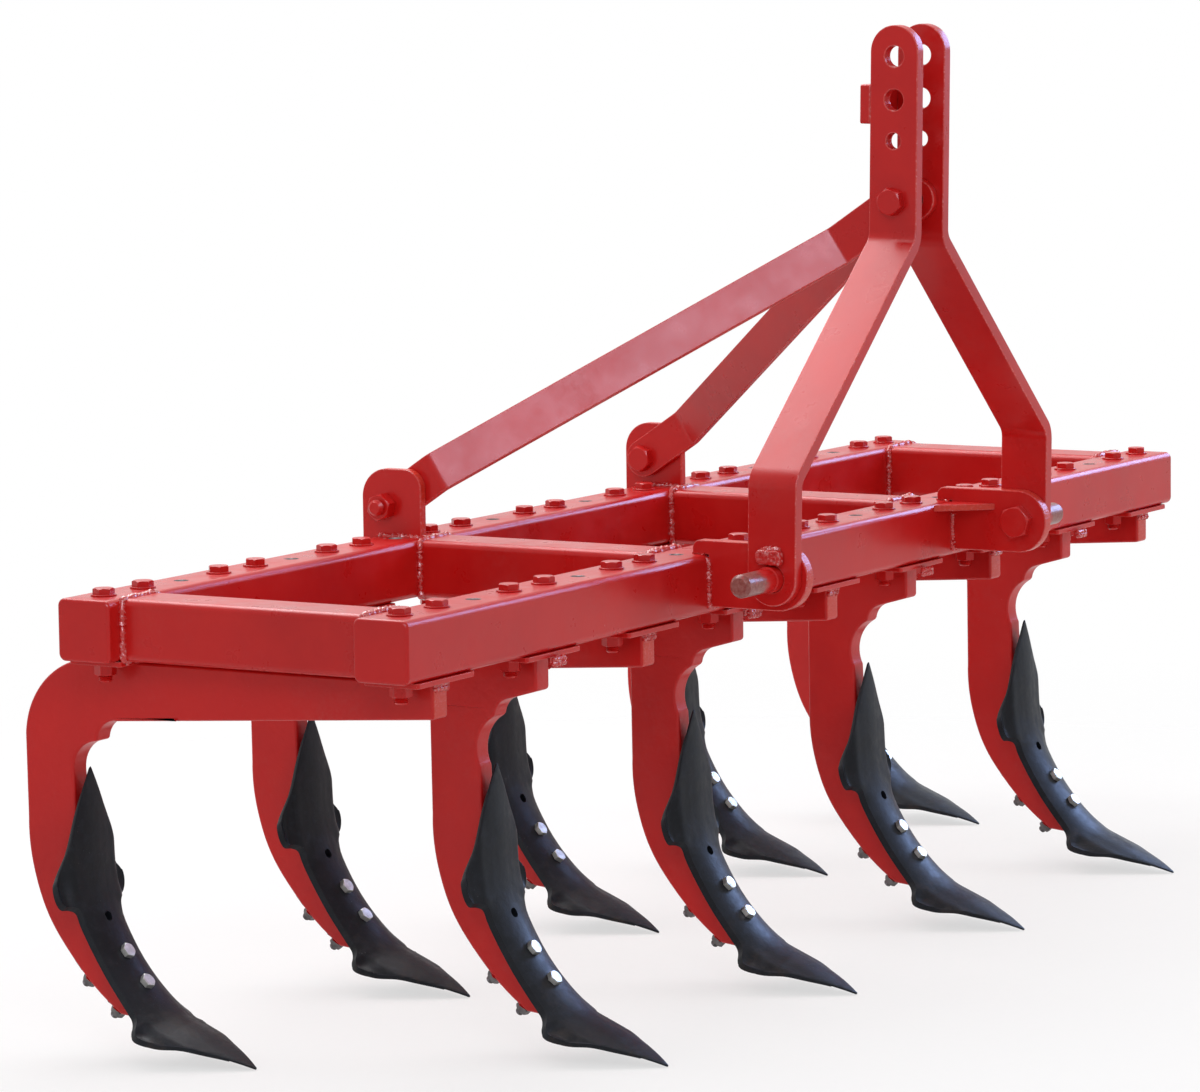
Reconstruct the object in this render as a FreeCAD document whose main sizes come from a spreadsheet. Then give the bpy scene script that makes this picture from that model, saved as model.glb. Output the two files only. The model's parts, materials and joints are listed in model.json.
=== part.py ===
import FreeCAD, Part
import math
import os
from FreeCAD import Placement, Rotation, Vector

# Rigid-tine field cultivator for a tractor's three-point hitch, standing on its shovel tips.
# Origin: on the floor, midway between the ends of the frame and midway between the foremost
# and the rearmost point of the machine. +Z up, -Y is the direction of travel, +X is the
# machine's left-hand side. Millimetres.

doc = FreeCAD.newDocument("FieldCultivator")
sheet = doc.addObject("Spreadsheet::Sheet", "Dimensions")

SIZES = [
    ("hole_pitch", 76.2),          # pitch of the bolt holes along both beams
    ("hole_count", 26),
    ("beam_size", 72.0),           # square tube, outside
    ("front_wall", 12.0),          # the front beam carries the hitch
    ("rear_wall", 4.0),
    ("cross_wall", 6.0),
    ("beam_corner", 9.0),
    ("beam_end", 41.0),            # from the last hole to the closed end
    ("front_row_y", -177.2),       # centre line of the front beam
    ("row_gap", 400.0),            # between the centre lines of the two beams
    ("beam_top", 540.0),           # height of the frame's top above the floor
    ("cross_inner_x", 310.0),
    ("cross_end_inset", 24.0),
    ("tine_count", 9),
    ("tine_thick", 30.0),
    ("clamp_long", 118.0),
    ("clamp_thick", 6.0),
    ("bolt_dia", 16.0),
    ("bolt_hole", 17.5),
    ("bolt_flats", 22.0),
    ("bolt_head", 7.0),
    ("washer_dia", 30.0),
    ("washer_thick", 2.0),
    ("nut_high", 13.0),
    ("shovel_thick", 8.0),
    ("shovel_bolt", 10.0),
    ("shovel_hole", 12.0),
    ("mast_wide", 65.0),
    ("mast_thick", 16.0),
    ("mast_y", -307.5),            # at the height of the lower hitch pins
    ("mast_lean", 1.05),           # degrees that the mast leans forward about those pins
    ("mast_gap", 56.0),            # clear width between the two mast plates at the top link
    ("mast_top", 1163.0),
    ("mast_bend_drop", 263.0),     # the drops are measured down from the top of the mast
    ("mast_bolt_drop", 215.0),
    ("tie_drop", 97.0),
    ("link_drop_top", 38.0),
    ("link_drop_mid", 91.0),
    ("link_drop_low", 141.0),
    ("mast_bend_low", 635.0),
    ("leg_x", 336.5),              # middle of the mast leg's thickness at the bottom
    ("hitch_z", 517.0),
    ("pin_dia", 28.0),
    ("pin_collar", 32.0),
    ("pin_hole", 32.6),
    ("stop_thick", 10.0),
    ("pin_tip_x", 423.0),
    ("bracket_thick", 16.0),
    ("bracket_high", 80.0),
    ("link_hole_big", 25.7),
    ("link_hole_small", 19.6),
    ("brace_wide", 50.0),
    ("brace_thick", 12.0),
    ("brace_bolt", 20.0),
    ("brace_hole", 20.6),
    ("brace_bolt_flats", 30.0),
    ("brace_bolt_head", 12.5),
    ("lug_thick", 12.0),
    ("lug_bolt_y", 246.8),
    ("lug_bolt_z", 577.0),
    ("seat_gap", 0.3),             # clearance of curved faces that lie against each other
]
HEIGHTS = [
    ("mast_bend_high", "=mast_top - mast_bend_drop"),
    ("mast_bolt_z", "=mast_top - mast_bolt_drop"),
    ("tie_z", "=mast_top - tie_drop"),
    ("link_z_top", "=mast_top - link_drop_top"),
    ("link_z_mid", "=mast_top - link_drop_mid"),
    ("link_z_low", "=mast_top - link_drop_low"),
]
for row, (alias, value) in enumerate(SIZES + HEIGHTS, start=1):
    sheet.set("A%d" % row, alias)
    sheet.set("B%d" % row, str(value))
    sheet.setAlias("B%d" % row, alias)
doc.recompute()
V = dict(SIZES)
for alias, formula in HEIGHTS:
    V[alias] = float(sheet.get(alias))

BEAM_LONG = (V["hole_count"] - 1) * V["hole_pitch"] + 2 * V["beam_end"]
BEAM_MID_Z = V["beam_top"] - V["beam_size"] / 2
BEAM_LOW_Z = V["beam_top"] - V["beam_size"]
ARM_TOP = BEAM_LOW_Z - V["clamp_thick"]
FRONT_Y = V["front_row_y"]
REAR_Y = FRONT_Y + V["row_gap"]
FRONT_ROW = "Dimensions.front_row_y"
REAR_ROW = "Dimensions.front_row_y + Dimensions.row_gap"
TINE_PITCH = 3 * V["hole_pitch"]
PARTS = []

YZ = Rotation(Vector(1, 1, 1), 120)          # drawn x -> +Y, drawn y -> +Z, normal +X
XZ = Rotation(Vector(1, 0, 0), 90)           # drawn x -> +X, drawn y -> +Z, normal -Y
XY = Rotation()


def done(obj, label):
    obj.Label = label
    PARTS.append(obj)
    return obj


def bind(obj, **links):
    for prop, text in links.items():
        obj.setExpression(prop.replace("__", "."), text)
    return obj


def plane(body, role):
    return [f for f in body.Origin.OriginFeatures if f.Role == role][0]


def line(a, b):
    return Part.LineSegment(Vector(a[0], a[1], 0), Vector(b[0], b[1], 0))


def arc(a, m, b):
    return Part.Arc(Vector(a[0], a[1], 0), Vector(m[0], m[1], 0), Vector(b[0], b[1], 0))


def spline(points):
    curve = Part.BSplineCurve()
    curve.interpolate([Vector(p[0], p[1], 0) for p in points])
    return curve


def rounded_box(cx, cy, w, h, r):
    """Outline of a rectangle with rounded corners, as sketch geometry."""
    k = r * (1 - math.sqrt(0.5))
    x0, x1, y0, y1 = cx - w / 2, cx + w / 2, cy - h / 2, cy + h / 2
    return [
        line((x0 + r, y0), (x1 - r, y0)),
        arc((x1 - r, y0), (x1 - k, y0 + k), (x1, y0 + r)),
        line((x1, y0 + r), (x1, y1 - r)),
        arc((x1, y1 - r), (x1 - k, y1 - k), (x1 - r, y1)),
        line((x1 - r, y1), (x0 + r, y1)),
        arc((x0 + r, y1), (x0 + k, y1 - k), (x0, y1 - r)),
        line((x0, y1 - r), (x0, y0 + r)),
        arc((x0, y0 + r), (x0 + k, y0 + k), (x0 + r, y0)),
    ]


def polygon(points):
    return [line(a, b) for a, b in zip(points, points[1:] + points[:1])]


def strip(points, thick, radius):
    """Outline of a flat bar of given thickness bent along a line of points, seen on edge."""
    sides = []
    for sign in (1, -1):
        path = []
        for i, p in enumerate(points):
            if i in (0, len(points) - 1):
                q, r = (points[0], points[1]) if i == 0 else (points[-2], points[-1])
                d = Vector(r[0] - q[0], r[1] - q[1], 0).normalize()
                n = Vector(-d.y, d.x, 0) * (sign * thick / 2)
                path.append((Vector(p[0], p[1], 0) + n,))
                continue
            d1 = Vector(p[0] - points[i - 1][0], p[1] - points[i - 1][1], 0).normalize()
            d2 = Vector(points[i + 1][0] - p[0], points[i + 1][1] - p[1], 0).normalize()
            turn = d1.x * d2.y - d1.y * d2.x
            n1, n2 = Vector(-d1.y, d1.x, 0), Vector(-d2.y, d2.x, 0)
            side = 1 if turn > 0 else -1
            half = math.acos(max(-1, min(1, d1.dot(d2)))) / 2
            base = Vector(p[0], p[1], 0)
            back = radius * math.tan(half)
            start, end = base - d1 * back, base + d2 * back
            centre = start + n1 * (side * radius)
            mid = (base - centre).normalize()
            r = radius - side * sign * thick / 2
            path.append((start + n1 * (sign * thick / 2), centre + mid * r,
                         end + n2 * (sign * thick / 2)))
        sides.append(path)
    out = []
    first, second = sides
    last = first[0][0]
    for item in first[1:]:
        out.append(line(last, item[0]))
        if len(item) == 3:
            out.append(arc(*item))
        last = item[-1]
    back_path = [tuple(reversed(item)) for item in reversed(second)]
    out.append(line(last, back_path[0][0]))
    last = back_path[0][0]
    for item in back_path[1:]:
        out.append(line(last, item[0]))
        if len(item) == 3:
            out.append(arc(*item))
        last = item[-1]
    out.append(line(last, first[0][0]))
    return out


def body_sketch(body, name, role, geometry, lift=0.0):
    sk = body.newObject("Sketcher::SketchObject", name)
    sk.AttachmentSupport = [(plane(body, role), "")]
    sk.MapMode = "FlatFace"
    sk.AttachmentOffset = Placement(Vector(0, 0, lift), Rotation())
    for g in geometry:
        sk.addGeometry(g, False)
    return sk


def free_sketch(name, geometry, place):
    sk = doc.addObject("Sketcher::SketchObject", name)
    for g in geometry:
        sk.addGeometry(g, False)
    sk.Placement = place
    return sk


def bar(name, geometry, place, length, both=True):
    """A sketch extruded along its normal; length is a spreadsheet expression."""
    ex = doc.addObject("Part::Extrusion", name)
    ex.Base = free_sketch(name + "_outline", geometry, place)
    ex.DirMode = "Normal"
    ex.Solid = True
    ex.Symmetric = both
    ex.setExpression("LengthFwd", length)
    return ex


def rod(name, radius, height, place, **more):
    """A round bar; radius and height are spreadsheet expressions."""
    cy = doc.addObject("Part::Cylinder", name)
    cy.Placement = place
    return bind(cy, Radius=radius, Height=height, **more)


def hexagon(name, flats, height, place):
    pr = doc.addObject("Part::Prism", name)
    pr.Polygon = 6
    pr.Placement = place
    return bind(pr, Circumradius="%s / sqrt(3)" % flats, Height=height)


def join(name, shapes):
    fu = doc.addObject("Part::MultiFuse", name)
    fu.Shapes = shapes
    fu.Refine = True
    return fu


def overlap(name, shapes):
    co = doc.addObject("Part::MultiCommon", name)
    co.Shapes = shapes
    return co


def cut(name, base, tools):
    cu = doc.addObject("Part::Cut", name)
    cu.Base = base
    cu.Tool = tools[0] if len(tools) == 1 else join(name + "_tools", tools)
    return cu


def along_x(x, y, z):
    return Placement(Vector(x, y, z), Rotation(Vector(0, 1, 0), 90))


# ---------------------------------------------------------------- frame

def beam(label, line_y, wall_name):
    """Closed square tube with a row of bolt holes through top and bottom."""
    body = doc.addObject("PartDesign::Body", label)
    size, r, wall = V["beam_size"], V["beam_corner"], V[wall_name]
    pad = body.newObject("PartDesign::Pad", label + "_tube")
    pad.Profile = body_sketch(body, label + "_section", "YZ_Plane", rounded_box(0, 0, size, size, r))
    pad.Midplane = True
    pad.setExpression("Length", "(Dimensions.hole_count - 1) * Dimensions.hole_pitch"
                                " + 2 * Dimensions.beam_end")
    inner = size - 2 * wall
    core = body.newObject("PartDesign::Pocket", label + "_hollow")
    core.Profile = body_sketch(body, label + "_bore", "YZ_Plane",
                               rounded_box(0, 0, inner, inner, max(r - wall, 2.0)))
    core.Midplane = True
    core.setExpression("Length", "(Dimensions.hole_count - 1) * Dimensions.hole_pitch"
                                 " + 2 * (Dimensions.beam_end - Dimensions.%s)" % wall_name)
    first = -(V["hole_count"] - 1) / 2 * V["hole_pitch"]
    ring = Part.Circle(Vector(first, 0, 0), Vector(0, 0, 1), V["bolt_hole"] / 2)
    holes = body.newObject("PartDesign::Pocket", label + "_hole")
    holes.Profile = body_sketch(body, label + "_hole_ring", "XY_Plane", [ring])
    holes.Type = "ThroughAll"
    holes.Midplane = True
    row = body.newObject("PartDesign::LinearPattern", label + "_hole_row")
    row.Originals = [holes]
    row.Direction = (plane(body, "X_Axis"), [""])
    row.setExpression("Length", "(Dimensions.hole_count - 1) * Dimensions.hole_pitch")
    row.setExpression("Occurrences", "Dimensions.hole_count")
    body.Tip = row
    bind(body, Placement__Base__y=line_y,
         Placement__Base__z="Dimensions.beam_top - Dimensions.beam_size / 2")
    return done(body, label)


def cross(label, where):
    """Square tube standing between the two beams."""
    body = doc.addObject("PartDesign::Body", label)
    size, r, wall = V["beam_size"], V["beam_corner"], V["cross_wall"]
    pad = body.newObject("PartDesign::Pad", label + "_tube")
    pad.Profile = body_sketch(body, label + "_section", "XZ_Plane", rounded_box(0, 0, size, size, r))
    pad.Midplane = True
    pad.setExpression("Length", "Dimensions.row_gap - Dimensions.beam_size")
    inner = size - 2 * wall
    core = body.newObject("PartDesign::Pocket", label + "_hollow")
    core.Profile = body_sketch(body, label + "_bore", "XZ_Plane",
                               rounded_box(0, 0, inner, inner, r - wall))
    core.Type = "ThroughAll"
    core.Midplane = True
    body.Tip = core
    bind(body, Placement__Base__x=where,
         Placement__Base__y="Dimensions.front_row_y + Dimensions.row_gap / 2",
         Placement__Base__z="Dimensions.beam_top - Dimensions.beam_size / 2")
    return done(body, label)


beam("front_beam", FRONT_ROW, "front_wall")
beam("rear_beam", REAR_ROW, "rear_wall")
END_X = ("((Dimensions.hole_count - 1) * Dimensions.hole_pitch / 2 + Dimensions.beam_end"
         " - Dimensions.cross_end_inset - Dimensions.beam_size / 2)")
cross("end_cross_member_right", "-" + END_X)
cross("inner_cross_member_right", "-Dimensions.cross_inner_x")
cross("inner_cross_member_left", "Dimensions.cross_inner_x")
cross("end_cross_member_left", END_X)

# ---------------------------------------------------------------- tines

# Front (ridge) line of the reversible shovel, side view, (y behind the row line, z).
RIDGE = [(52, 338), (51, 300), (48, 255), (46, 215), (41.5, 188), (28.5, 155), (1.5, 111.5),
         (-30.5, 75.5), (-60, 52), (-95, 36.5), (-128, 22), (-171, 2.5)]
EDGE_THICK = [2.5, 5, 7.5] + [V["shovel_thick"]] * 6 + [7.0, 5.0, 2.5]
# How far the blade lies behind its ridge, by half width: at the flat points and at the
# arched middle. ARCHED says for each point of the ridge how much of the arch it has.
CROSS = [(0, 0, 0), (10, 0.4, 0.5), (20, 2.0, 5.0), (30, 4.5, 11.4), (42, 8.0, 22.0),
         (66, 14.0, 29.0)]
ARCHED = [0, 0, 0, 0, 0, 0.6, 1, 0.85, 0.1, 0, 0, 0]
SHOULDER_Z = 400.0  # the legs are full thickness above this height
DRAFT = 0.014       # and lose this much a side for each mm below it


def offset_line(points, depths):
    """The line at the given depths behind a line of points."""
    out = []
    for i, p in enumerate(points):
        a, b = points[max(i - 1, 0)], points[min(i + 1, len(points) - 1)]
        d = Vector(b[0] - a[0], b[1] - a[1], 0).normalize()
        out.append((p[0] - d.y * depths[i], p[1] + d.x * depths[i]))
    return out


BACK = offset_line(RIDGE, EDGE_THICK)
SEAT = offset_line(RIDGE, [t + V["seat_gap"] for t in EDGE_THICK])


def leg_lines(shift, top):
    """Leg from its back edge down to the end and up the seat to its front edge."""
    def at(p):
        return (p[0] + shift, p[1])
    heel = [at(p) for p in ((134.5, top), (134.5, 272), (132, 225), (126, 198), (110.5, 157),
                            (83.5, 117), (47, 77), (11, 49))]
    toe = at((-33, 44.5))
    seat = [at(p) for p in SEAT[3:8]]
    knee = [at((67, 330)), at((65, 285)), at((60.5, 240))]
    out = [
        line(heel[0], heel[1]),
        spline(heel[1:]),
        line(heel[-1], toe),
        line(toe, seat[-1]),
        spline(knee[:1] + knee[1:] + seat),
    ]
    return out, heel[0], knee[0]


FRONT_END = FRONT_Y - 20.0             # where the arms of the front row end in front
LONG_END = FRONT_Y - 27.0              # and those of the rear row
REAR_END = REAR_Y + 26.0
FRONT_LEG_Y = FRONT_Y - 9.0           # the front legs stand a little further forward


def rear_tine_outline():
    legs, top, knee = leg_lines(REAR_Y, 370)
    y = REAR_Y
    return legs + [
        arc((y + 38, ARM_TOP), (y + 115, 422.5), top),
        line((LONG_END, ARM_TOP), (y + 38, ARM_TOP)),
        line((LONG_END, ARM_TOP), (LONG_END, 421.5)),
        line((LONG_END, 421.5), (y + 5, 391.5)),
        arc((y + 5, 391.5), (y + 26, 383.5), (y + 33, 366)),
        arc((y + 33, 366), (y + 54, 359), knee),
    ]


def front_tine_outline():
    shift = FRONT_LEG_Y
    legs, top, knee = leg_lines(shift, 385)
    y = FRONT_Y
    return legs + [
        arc((shift + 150, 397), (shift + 139, 392.5), top),
        line((shift + 150, 397), (REAR_END, 424.5)),
        line((REAR_END, 424.5), (REAR_END, ARM_TOP)),
        line((REAR_END, ARM_TOP), (FRONT_END, ARM_TOP)),
        line((FRONT_END, ARM_TOP), (FRONT_END, 423)),
        line((FRONT_END, 423), (y + 22, 411)),
        arc((y + 22, 411), (y + 34, 402), (y + 38, 390)),
        arc((y + 38, 390), (y + 53, 378), knee),
    ]


# Shovel bolts: a point on the ridge line and the direction into the tine (y, z).
SHOVEL_BOLTS = [((8.1, 120.9), (0.815, -0.579)), ((-18.9, 87.4), (0.740, -0.673))]
SPARE_HOLE = ((31.5, 161.5), (0.885, -0.466))


def shovel_axis(spot, start, x, row_y):
    (y, z), (dy, dz) = spot
    return Placement(Vector(x, row_y + y + dy * start, z + dz * start),
                     Rotation(Vector(0, 0, 1), Vector(0, dy, dz)))


def planform():
    """Outline of the shovel seen square on to its length: half width, height along it."""
    right = [
        ("line", (0, 274.5), (57, 203.5)),
        ("arc", (57, 203.5), (64, 187), (54, 173.5)),
        ("arc", (54, 173.5), (43, 166), (39, 154)),
        ("arc", (39, 154), (42, 88), (46.5, 20)),
        ("arc", (46.5, 20), (49.5, 9), (56, 2)),
        ("arc", (56, 2), (61.5, -9), (56, -24)),
        ("line", (56, -24), (0, -121)),
    ]
    out = []
    for kind, *pts in right:
        for side in (1, -1):
            spots = [(side * p[0], p[1]) for p in pts]
            out.append(line(*spots) if kind == "line" else arc(*spots))
    return out


def blade_sections(name, x, where, row_y):
    """Lengthwise sections of the arched blade, from one edge to the other."""
    sections = []
    sides = [(-half, flat, arch) for half, flat, arch in CROSS[:0:-1]] + CROSS
    for i, (off, flat, arch) in enumerate(sides):
        behind = [flat + (arch - flat) * share for share in ARCHED]
        face = offset_line(RIDGE, behind)
        rear = offset_line(RIDGE, [b + t for b, t in zip(behind, EDGE_THICK)])
        band = [spline(face), line(face[-1], rear[-1]), spline(rear), line(rear[0], face[0])]
        section = free_sketch("%s_section_%d" % (name, i), band,
                              Placement(Vector(x + off, row_y, 0), YZ))
        section.setExpression("Placement.Base.x", "%s + %g" % (where, off))
        sections.append(section)
    return sections


def draft():
    """Both sides of a leg below its shoulder, where the forging grows thinner downwards."""
    half = V["tine_thick"] / 2
    out = []
    for side in (1, -1):
        out += polygon([(side * half, SHOULDER_Z), (side * (half + 20), SHOULDER_Z),
                        (side * (half + 20), -10),
                        (side * (half - DRAFT * (SHOULDER_Z + 10)), -10)])
    return out


for number in range(1, V["tine_count"] + 1):
    rear = number % 2 == 1
    x = (number - (V["tine_count"] + 1) / 2) * TINE_PITCH
    where = "(%d - (Dimensions.tine_count + 1) / 2) * 3 * Dimensions.hole_pitch" % number
    shift = REAR_Y if rear else FRONT_LEG_Y
    name = "tine_%d" % number
    outline = rear_tine_outline() if rear else front_tine_outline()
    blank = bar(name + "_forging", outline, Placement(Vector(x, 0, 0), YZ), "Dimensions.tine_thick")
    blank.Base.setExpression("Placement.Base.x", where)
    drills = []
    for i, spot in enumerate(SHOVEL_BOLTS):
        drills.append(rod("%s_drill_%d" % (name, i), "Dimensions.shovel_hole / 2", "120 mm",
                          shovel_axis(spot, -20, x, shift)))
    sides = bar(name + "_draft", draft(), Placement(Vector(x, shift + 50, 0), XZ), "260 mm")
    sides.Base.setExpression("Placement.Base.x", where)
    done(cut(name, blank, drills + [sides]), name)

    name = "shovel_%d" % number
    blade = doc.addObject("Part::Loft", name + "_blade")
    blade.Sections = blade_sections(name, x, where, shift)
    blade.Solid = True
    tilt = Placement(Vector(x, shift, 0), Rotation(Vector(1, 0, 0), 45))
    die = bar(name + "_die", planform(), tilt, "900 mm")
    formed = overlap(name + "_formed", [blade, die])
    behind = [spline(BACK)]
    behind += polygon([BACK[-1], (BACK[-1][0] + 60, -60), (120, -60), (120, 360),
                       (BACK[0][0], 360), BACK[0]])[:-1]
    seat = bar(name + "_seat", behind, Placement(Vector(x, shift, 0), YZ),
               "Dimensions.tine_thick + 2 * Dimensions.seat_gap")
    tools = [seat]
    for i, spot in enumerate(SHOVEL_BOLTS + [SPARE_HOLE]):
        tools.append(rod("%s_drill_%d" % (name, i), "Dimensions.shovel_hole / 2", "60 mm",
                         shovel_axis(spot, -30, x, shift)))
    done(cut(name, formed, tools), name)

# ---------------------------------------------------------------- clamp plates and bolts


def pairs(body, label, feature, count2="Dimensions.tine_count"):
    """Repeat a feature for the two bolts of a clamp, then for every tine."""
    row = body.newObject("PartDesign::LinearPattern", label + "_row")
    row.Originals = feature if isinstance(feature, list) else [feature]
    row.Direction = (plane(body, "X_Axis"), [""])
    row.setExpression("Length", "Dimensions.hole_pitch")
    row.Occurrences = 2
    row.Direction2 = (plane(body, "X_Axis"), [""])
    row.setExpression("Length2", "3 * Dimensions.hole_pitch * (Dimensions.tine_count - 1)")
    row.setExpression("Occurrences2", count2)
    return row


def clamp_plates(label, line_y):
    body = doc.addObject("PartDesign::Body", label)
    first = -(V["tine_count"] - 1) / 2 * TINE_PITCH
    pad = body.newObject("PartDesign::Pad", label + "_plate")
    outline = rounded_box(first, 0, V["clamp_long"], V["beam_size"], 4)
    for side in (-0.5, 0.5):
        spot = Vector(first + side * V["hole_pitch"], 0, 0)
        outline.append(Part.Circle(spot, Vector(0, 0, 1), V["bolt_hole"] / 2))
    pad.Profile = body_sketch(body, label + "_outline", "XY_Plane", outline)
    pad.setExpression("Length", "Dimensions.clamp_thick")
    row = body.newObject("PartDesign::LinearPattern", label + "_row")
    row.Originals = [pad]
    row.Direction = (plane(body, "X_Axis"), [""])
    row.setExpression("Length", "3 * Dimensions.hole_pitch * (Dimensions.tine_count - 1)")
    row.setExpression("Occurrences", "Dimensions.tine_count")
    body.Tip = row
    bind(body, Placement__Base__y=line_y,
         Placement__Base__z="Dimensions.beam_top - Dimensions.beam_size - Dimensions.clamp_thick")
    return done(body, label)


def clamp_bolts(label, line_y):
    """Hex bolts through the beam and the clamp plate, each with washer and nut."""
    body = doc.addObject("PartDesign::Body", label)
    first = -(V["hole_count"] - 1) / 2 * V["hole_pitch"]
    grip = "(Dimensions.beam_size + Dimensions.clamp_thick)"
    shank = body.newObject("PartDesign::AdditiveCylinder", label + "_shank")
    shank.Placement.Base = Vector(first, 0, 0)
    bind(shank, Radius="Dimensions.bolt_dia / 2",
         Height=grip + " + Dimensions.nut_high + Dimensions.washer_thick + 8",
         Placement__Base__z="-" + grip + " - Dimensions.nut_high - 8")
    washer = body.newObject("PartDesign::AdditiveCylinder", label + "_washer")
    washer.Placement.Base = Vector(first, 0, 0)
    bind(washer, Radius="Dimensions.washer_dia / 2", Height="Dimensions.washer_thick")
    head = body.newObject("PartDesign::AdditivePrism", label + "_head")
    head.Polygon = 6
    head.Placement.Base = Vector(first, 0, 0)
    bind(head, Circumradius="Dimensions.bolt_flats / sqrt(3)", Height="Dimensions.bolt_head",
         Placement__Base__z="Dimensions.washer_thick")
    nut = body.newObject("PartDesign::AdditivePrism", label + "_nut")
    nut.Polygon = 6
    nut.Placement.Base = Vector(first, 0, 0)
    bind(nut, Circumradius="Dimensions.bolt_flats / sqrt(3)", Height="Dimensions.nut_high",
         Placement__Base__z="-" + grip + " - Dimensions.nut_high")
    doc.recompute()
    body.Tip = pairs(body, label, [shank, washer, head, nut])
    bind(body, Placement__Base__y=line_y,
         Placement__Base__z="Dimensions.beam_top")
    return done(body, label)


clamp_plates("front_clamp_plates", FRONT_ROW)
clamp_plates("rear_clamp_plates", REAR_ROW)
clamp_bolts("front_clamp_bolts", FRONT_ROW)
clamp_bolts("rear_clamp_bolts", REAR_ROW)

shovel_bolts = []
for number in range(1, V["tine_count"] + 1):
    rear = number % 2 == 1
    x = (number - (V["tine_count"] + 1) / 2) * TINE_PITCH
    shift = REAR_Y if rear else FRONT_LEG_Y
    for i, spot in enumerate(SHOVEL_BOLTS):
        name = "shovel_bolt_%d_%d" % (number, i)
        reach = (61.2, 51.8)[i]
        shank = rod(name + "_shank", "Dimensions.shovel_bolt / 2", "%g mm" % (reach + 15),
                    shovel_axis(spot, -3, x, shift))
        head = hexagon(name + "_head", "16 mm", "6.5 mm", shovel_axis(spot, -6.8, x, shift))
        nut = hexagon(name + "_nut", "16 mm", "8 mm", shovel_axis(spot, reach, x, shift))
        shovel_bolts.append(join(name, [shank, head, nut]))
group = doc.addObject("Part::Compound", "shovel_bolts")
group.Links = shovel_bolts
done(group, "shovel_bolts")

# ---------------------------------------------------------------- mast

MAST_X = V["mast_gap"] / 2 + V["mast_thick"] / 2
MAST_FACE = V["mast_gap"] / 2 + V["mast_thick"]
LEG_FACE = V["leg_x"] + V["mast_thick"] / 2
FOOT = Vector(0, V["mast_y"], V["hitch_z"])
LEAN = Placement(FOOT, Rotation(Vector(1, 0, 0), V["mast_lean"]))
LEAN = LEAN.multiply(Placement(-FOOT, Rotation()))      # turns the mast about its foot


def stadium(y0, y1, z0, z1):
    """Upright bar outline with both ends rounded to half its width."""
    r = (y1 - y0) / 2
    mid = (y0 + y1) / 2
    return [
        line((y1, z0 + r), (y1, z1 - r)),
        arc((y1, z1 - r), (mid, z1), (y0, z1 - r)),
        line((y0, z1 - r), (y0, z0 + r)),
        arc((y0, z0 + r), (mid, z0), (y1, z0 + r)),
    ]


for side, hand in ((-1, "right"), (1, "left")):
    name = "mast_plate_" + hand
    half = V["mast_wide"] / 2
    low = V["hitch_z"] - half
    path = [(side * V["leg_x"], low - 20), (side * V["leg_x"], V["mast_bend_low"]),
            (side * MAST_X, V["mast_bend_high"]), (side * MAST_X, V["mast_top"] + 20)]
    bent = bar(name + "_flat_bar", strip(path, V["mast_thick"], 26.0),
               Placement(Vector(0, V["mast_y"], 0), XZ), "Dimensions.mast_wide")
    bent.Base.setExpression("Placement.Base.y", "Dimensions.mast_y")
    ends = bar(name + "_ends", stadium(V["mast_y"] - half, V["mast_y"] + half, low, V["mast_top"]),
               Placement(Vector(0, 0, 0), YZ), "900 mm")
    drills = []
    for i, (dia, z) in enumerate((("link_hole_big", "link_z_top"), ("link_hole_big", "link_z_mid"),
                                  ("link_hole_small", "link_z_low"), ("brace_hole", "mast_bolt_z"),
                                  ("pin_hole", "hitch_z"))):
        drills.append(rod("%s_drill_%d" % (name, i), "Dimensions.%s / 2" % dia, "900 mm",
                          along_x(-450, V["mast_y"], V[z]), Placement__Base__z="Dimensions." + z))
    plate = cut(name, overlap(name + "_formed", [bent, ends]), drills)
    plate.Placement = LEAN
    done(plate, name)

# tie plate across the back edges of the mast
tie_at = Placement(Vector(0, V["mast_y"] + V["mast_wide"] / 2, V["tie_z"]), XZ)
tie = bar("mast_tie_plate", rounded_box(0, 0, 2 * MAST_FACE, 48, 3), LEAN.multiply(tie_at),
          "-14 mm", False)
done(tie, "mast_tie_plate")

# ---------------------------------------------------------------- lower hitch

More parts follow.
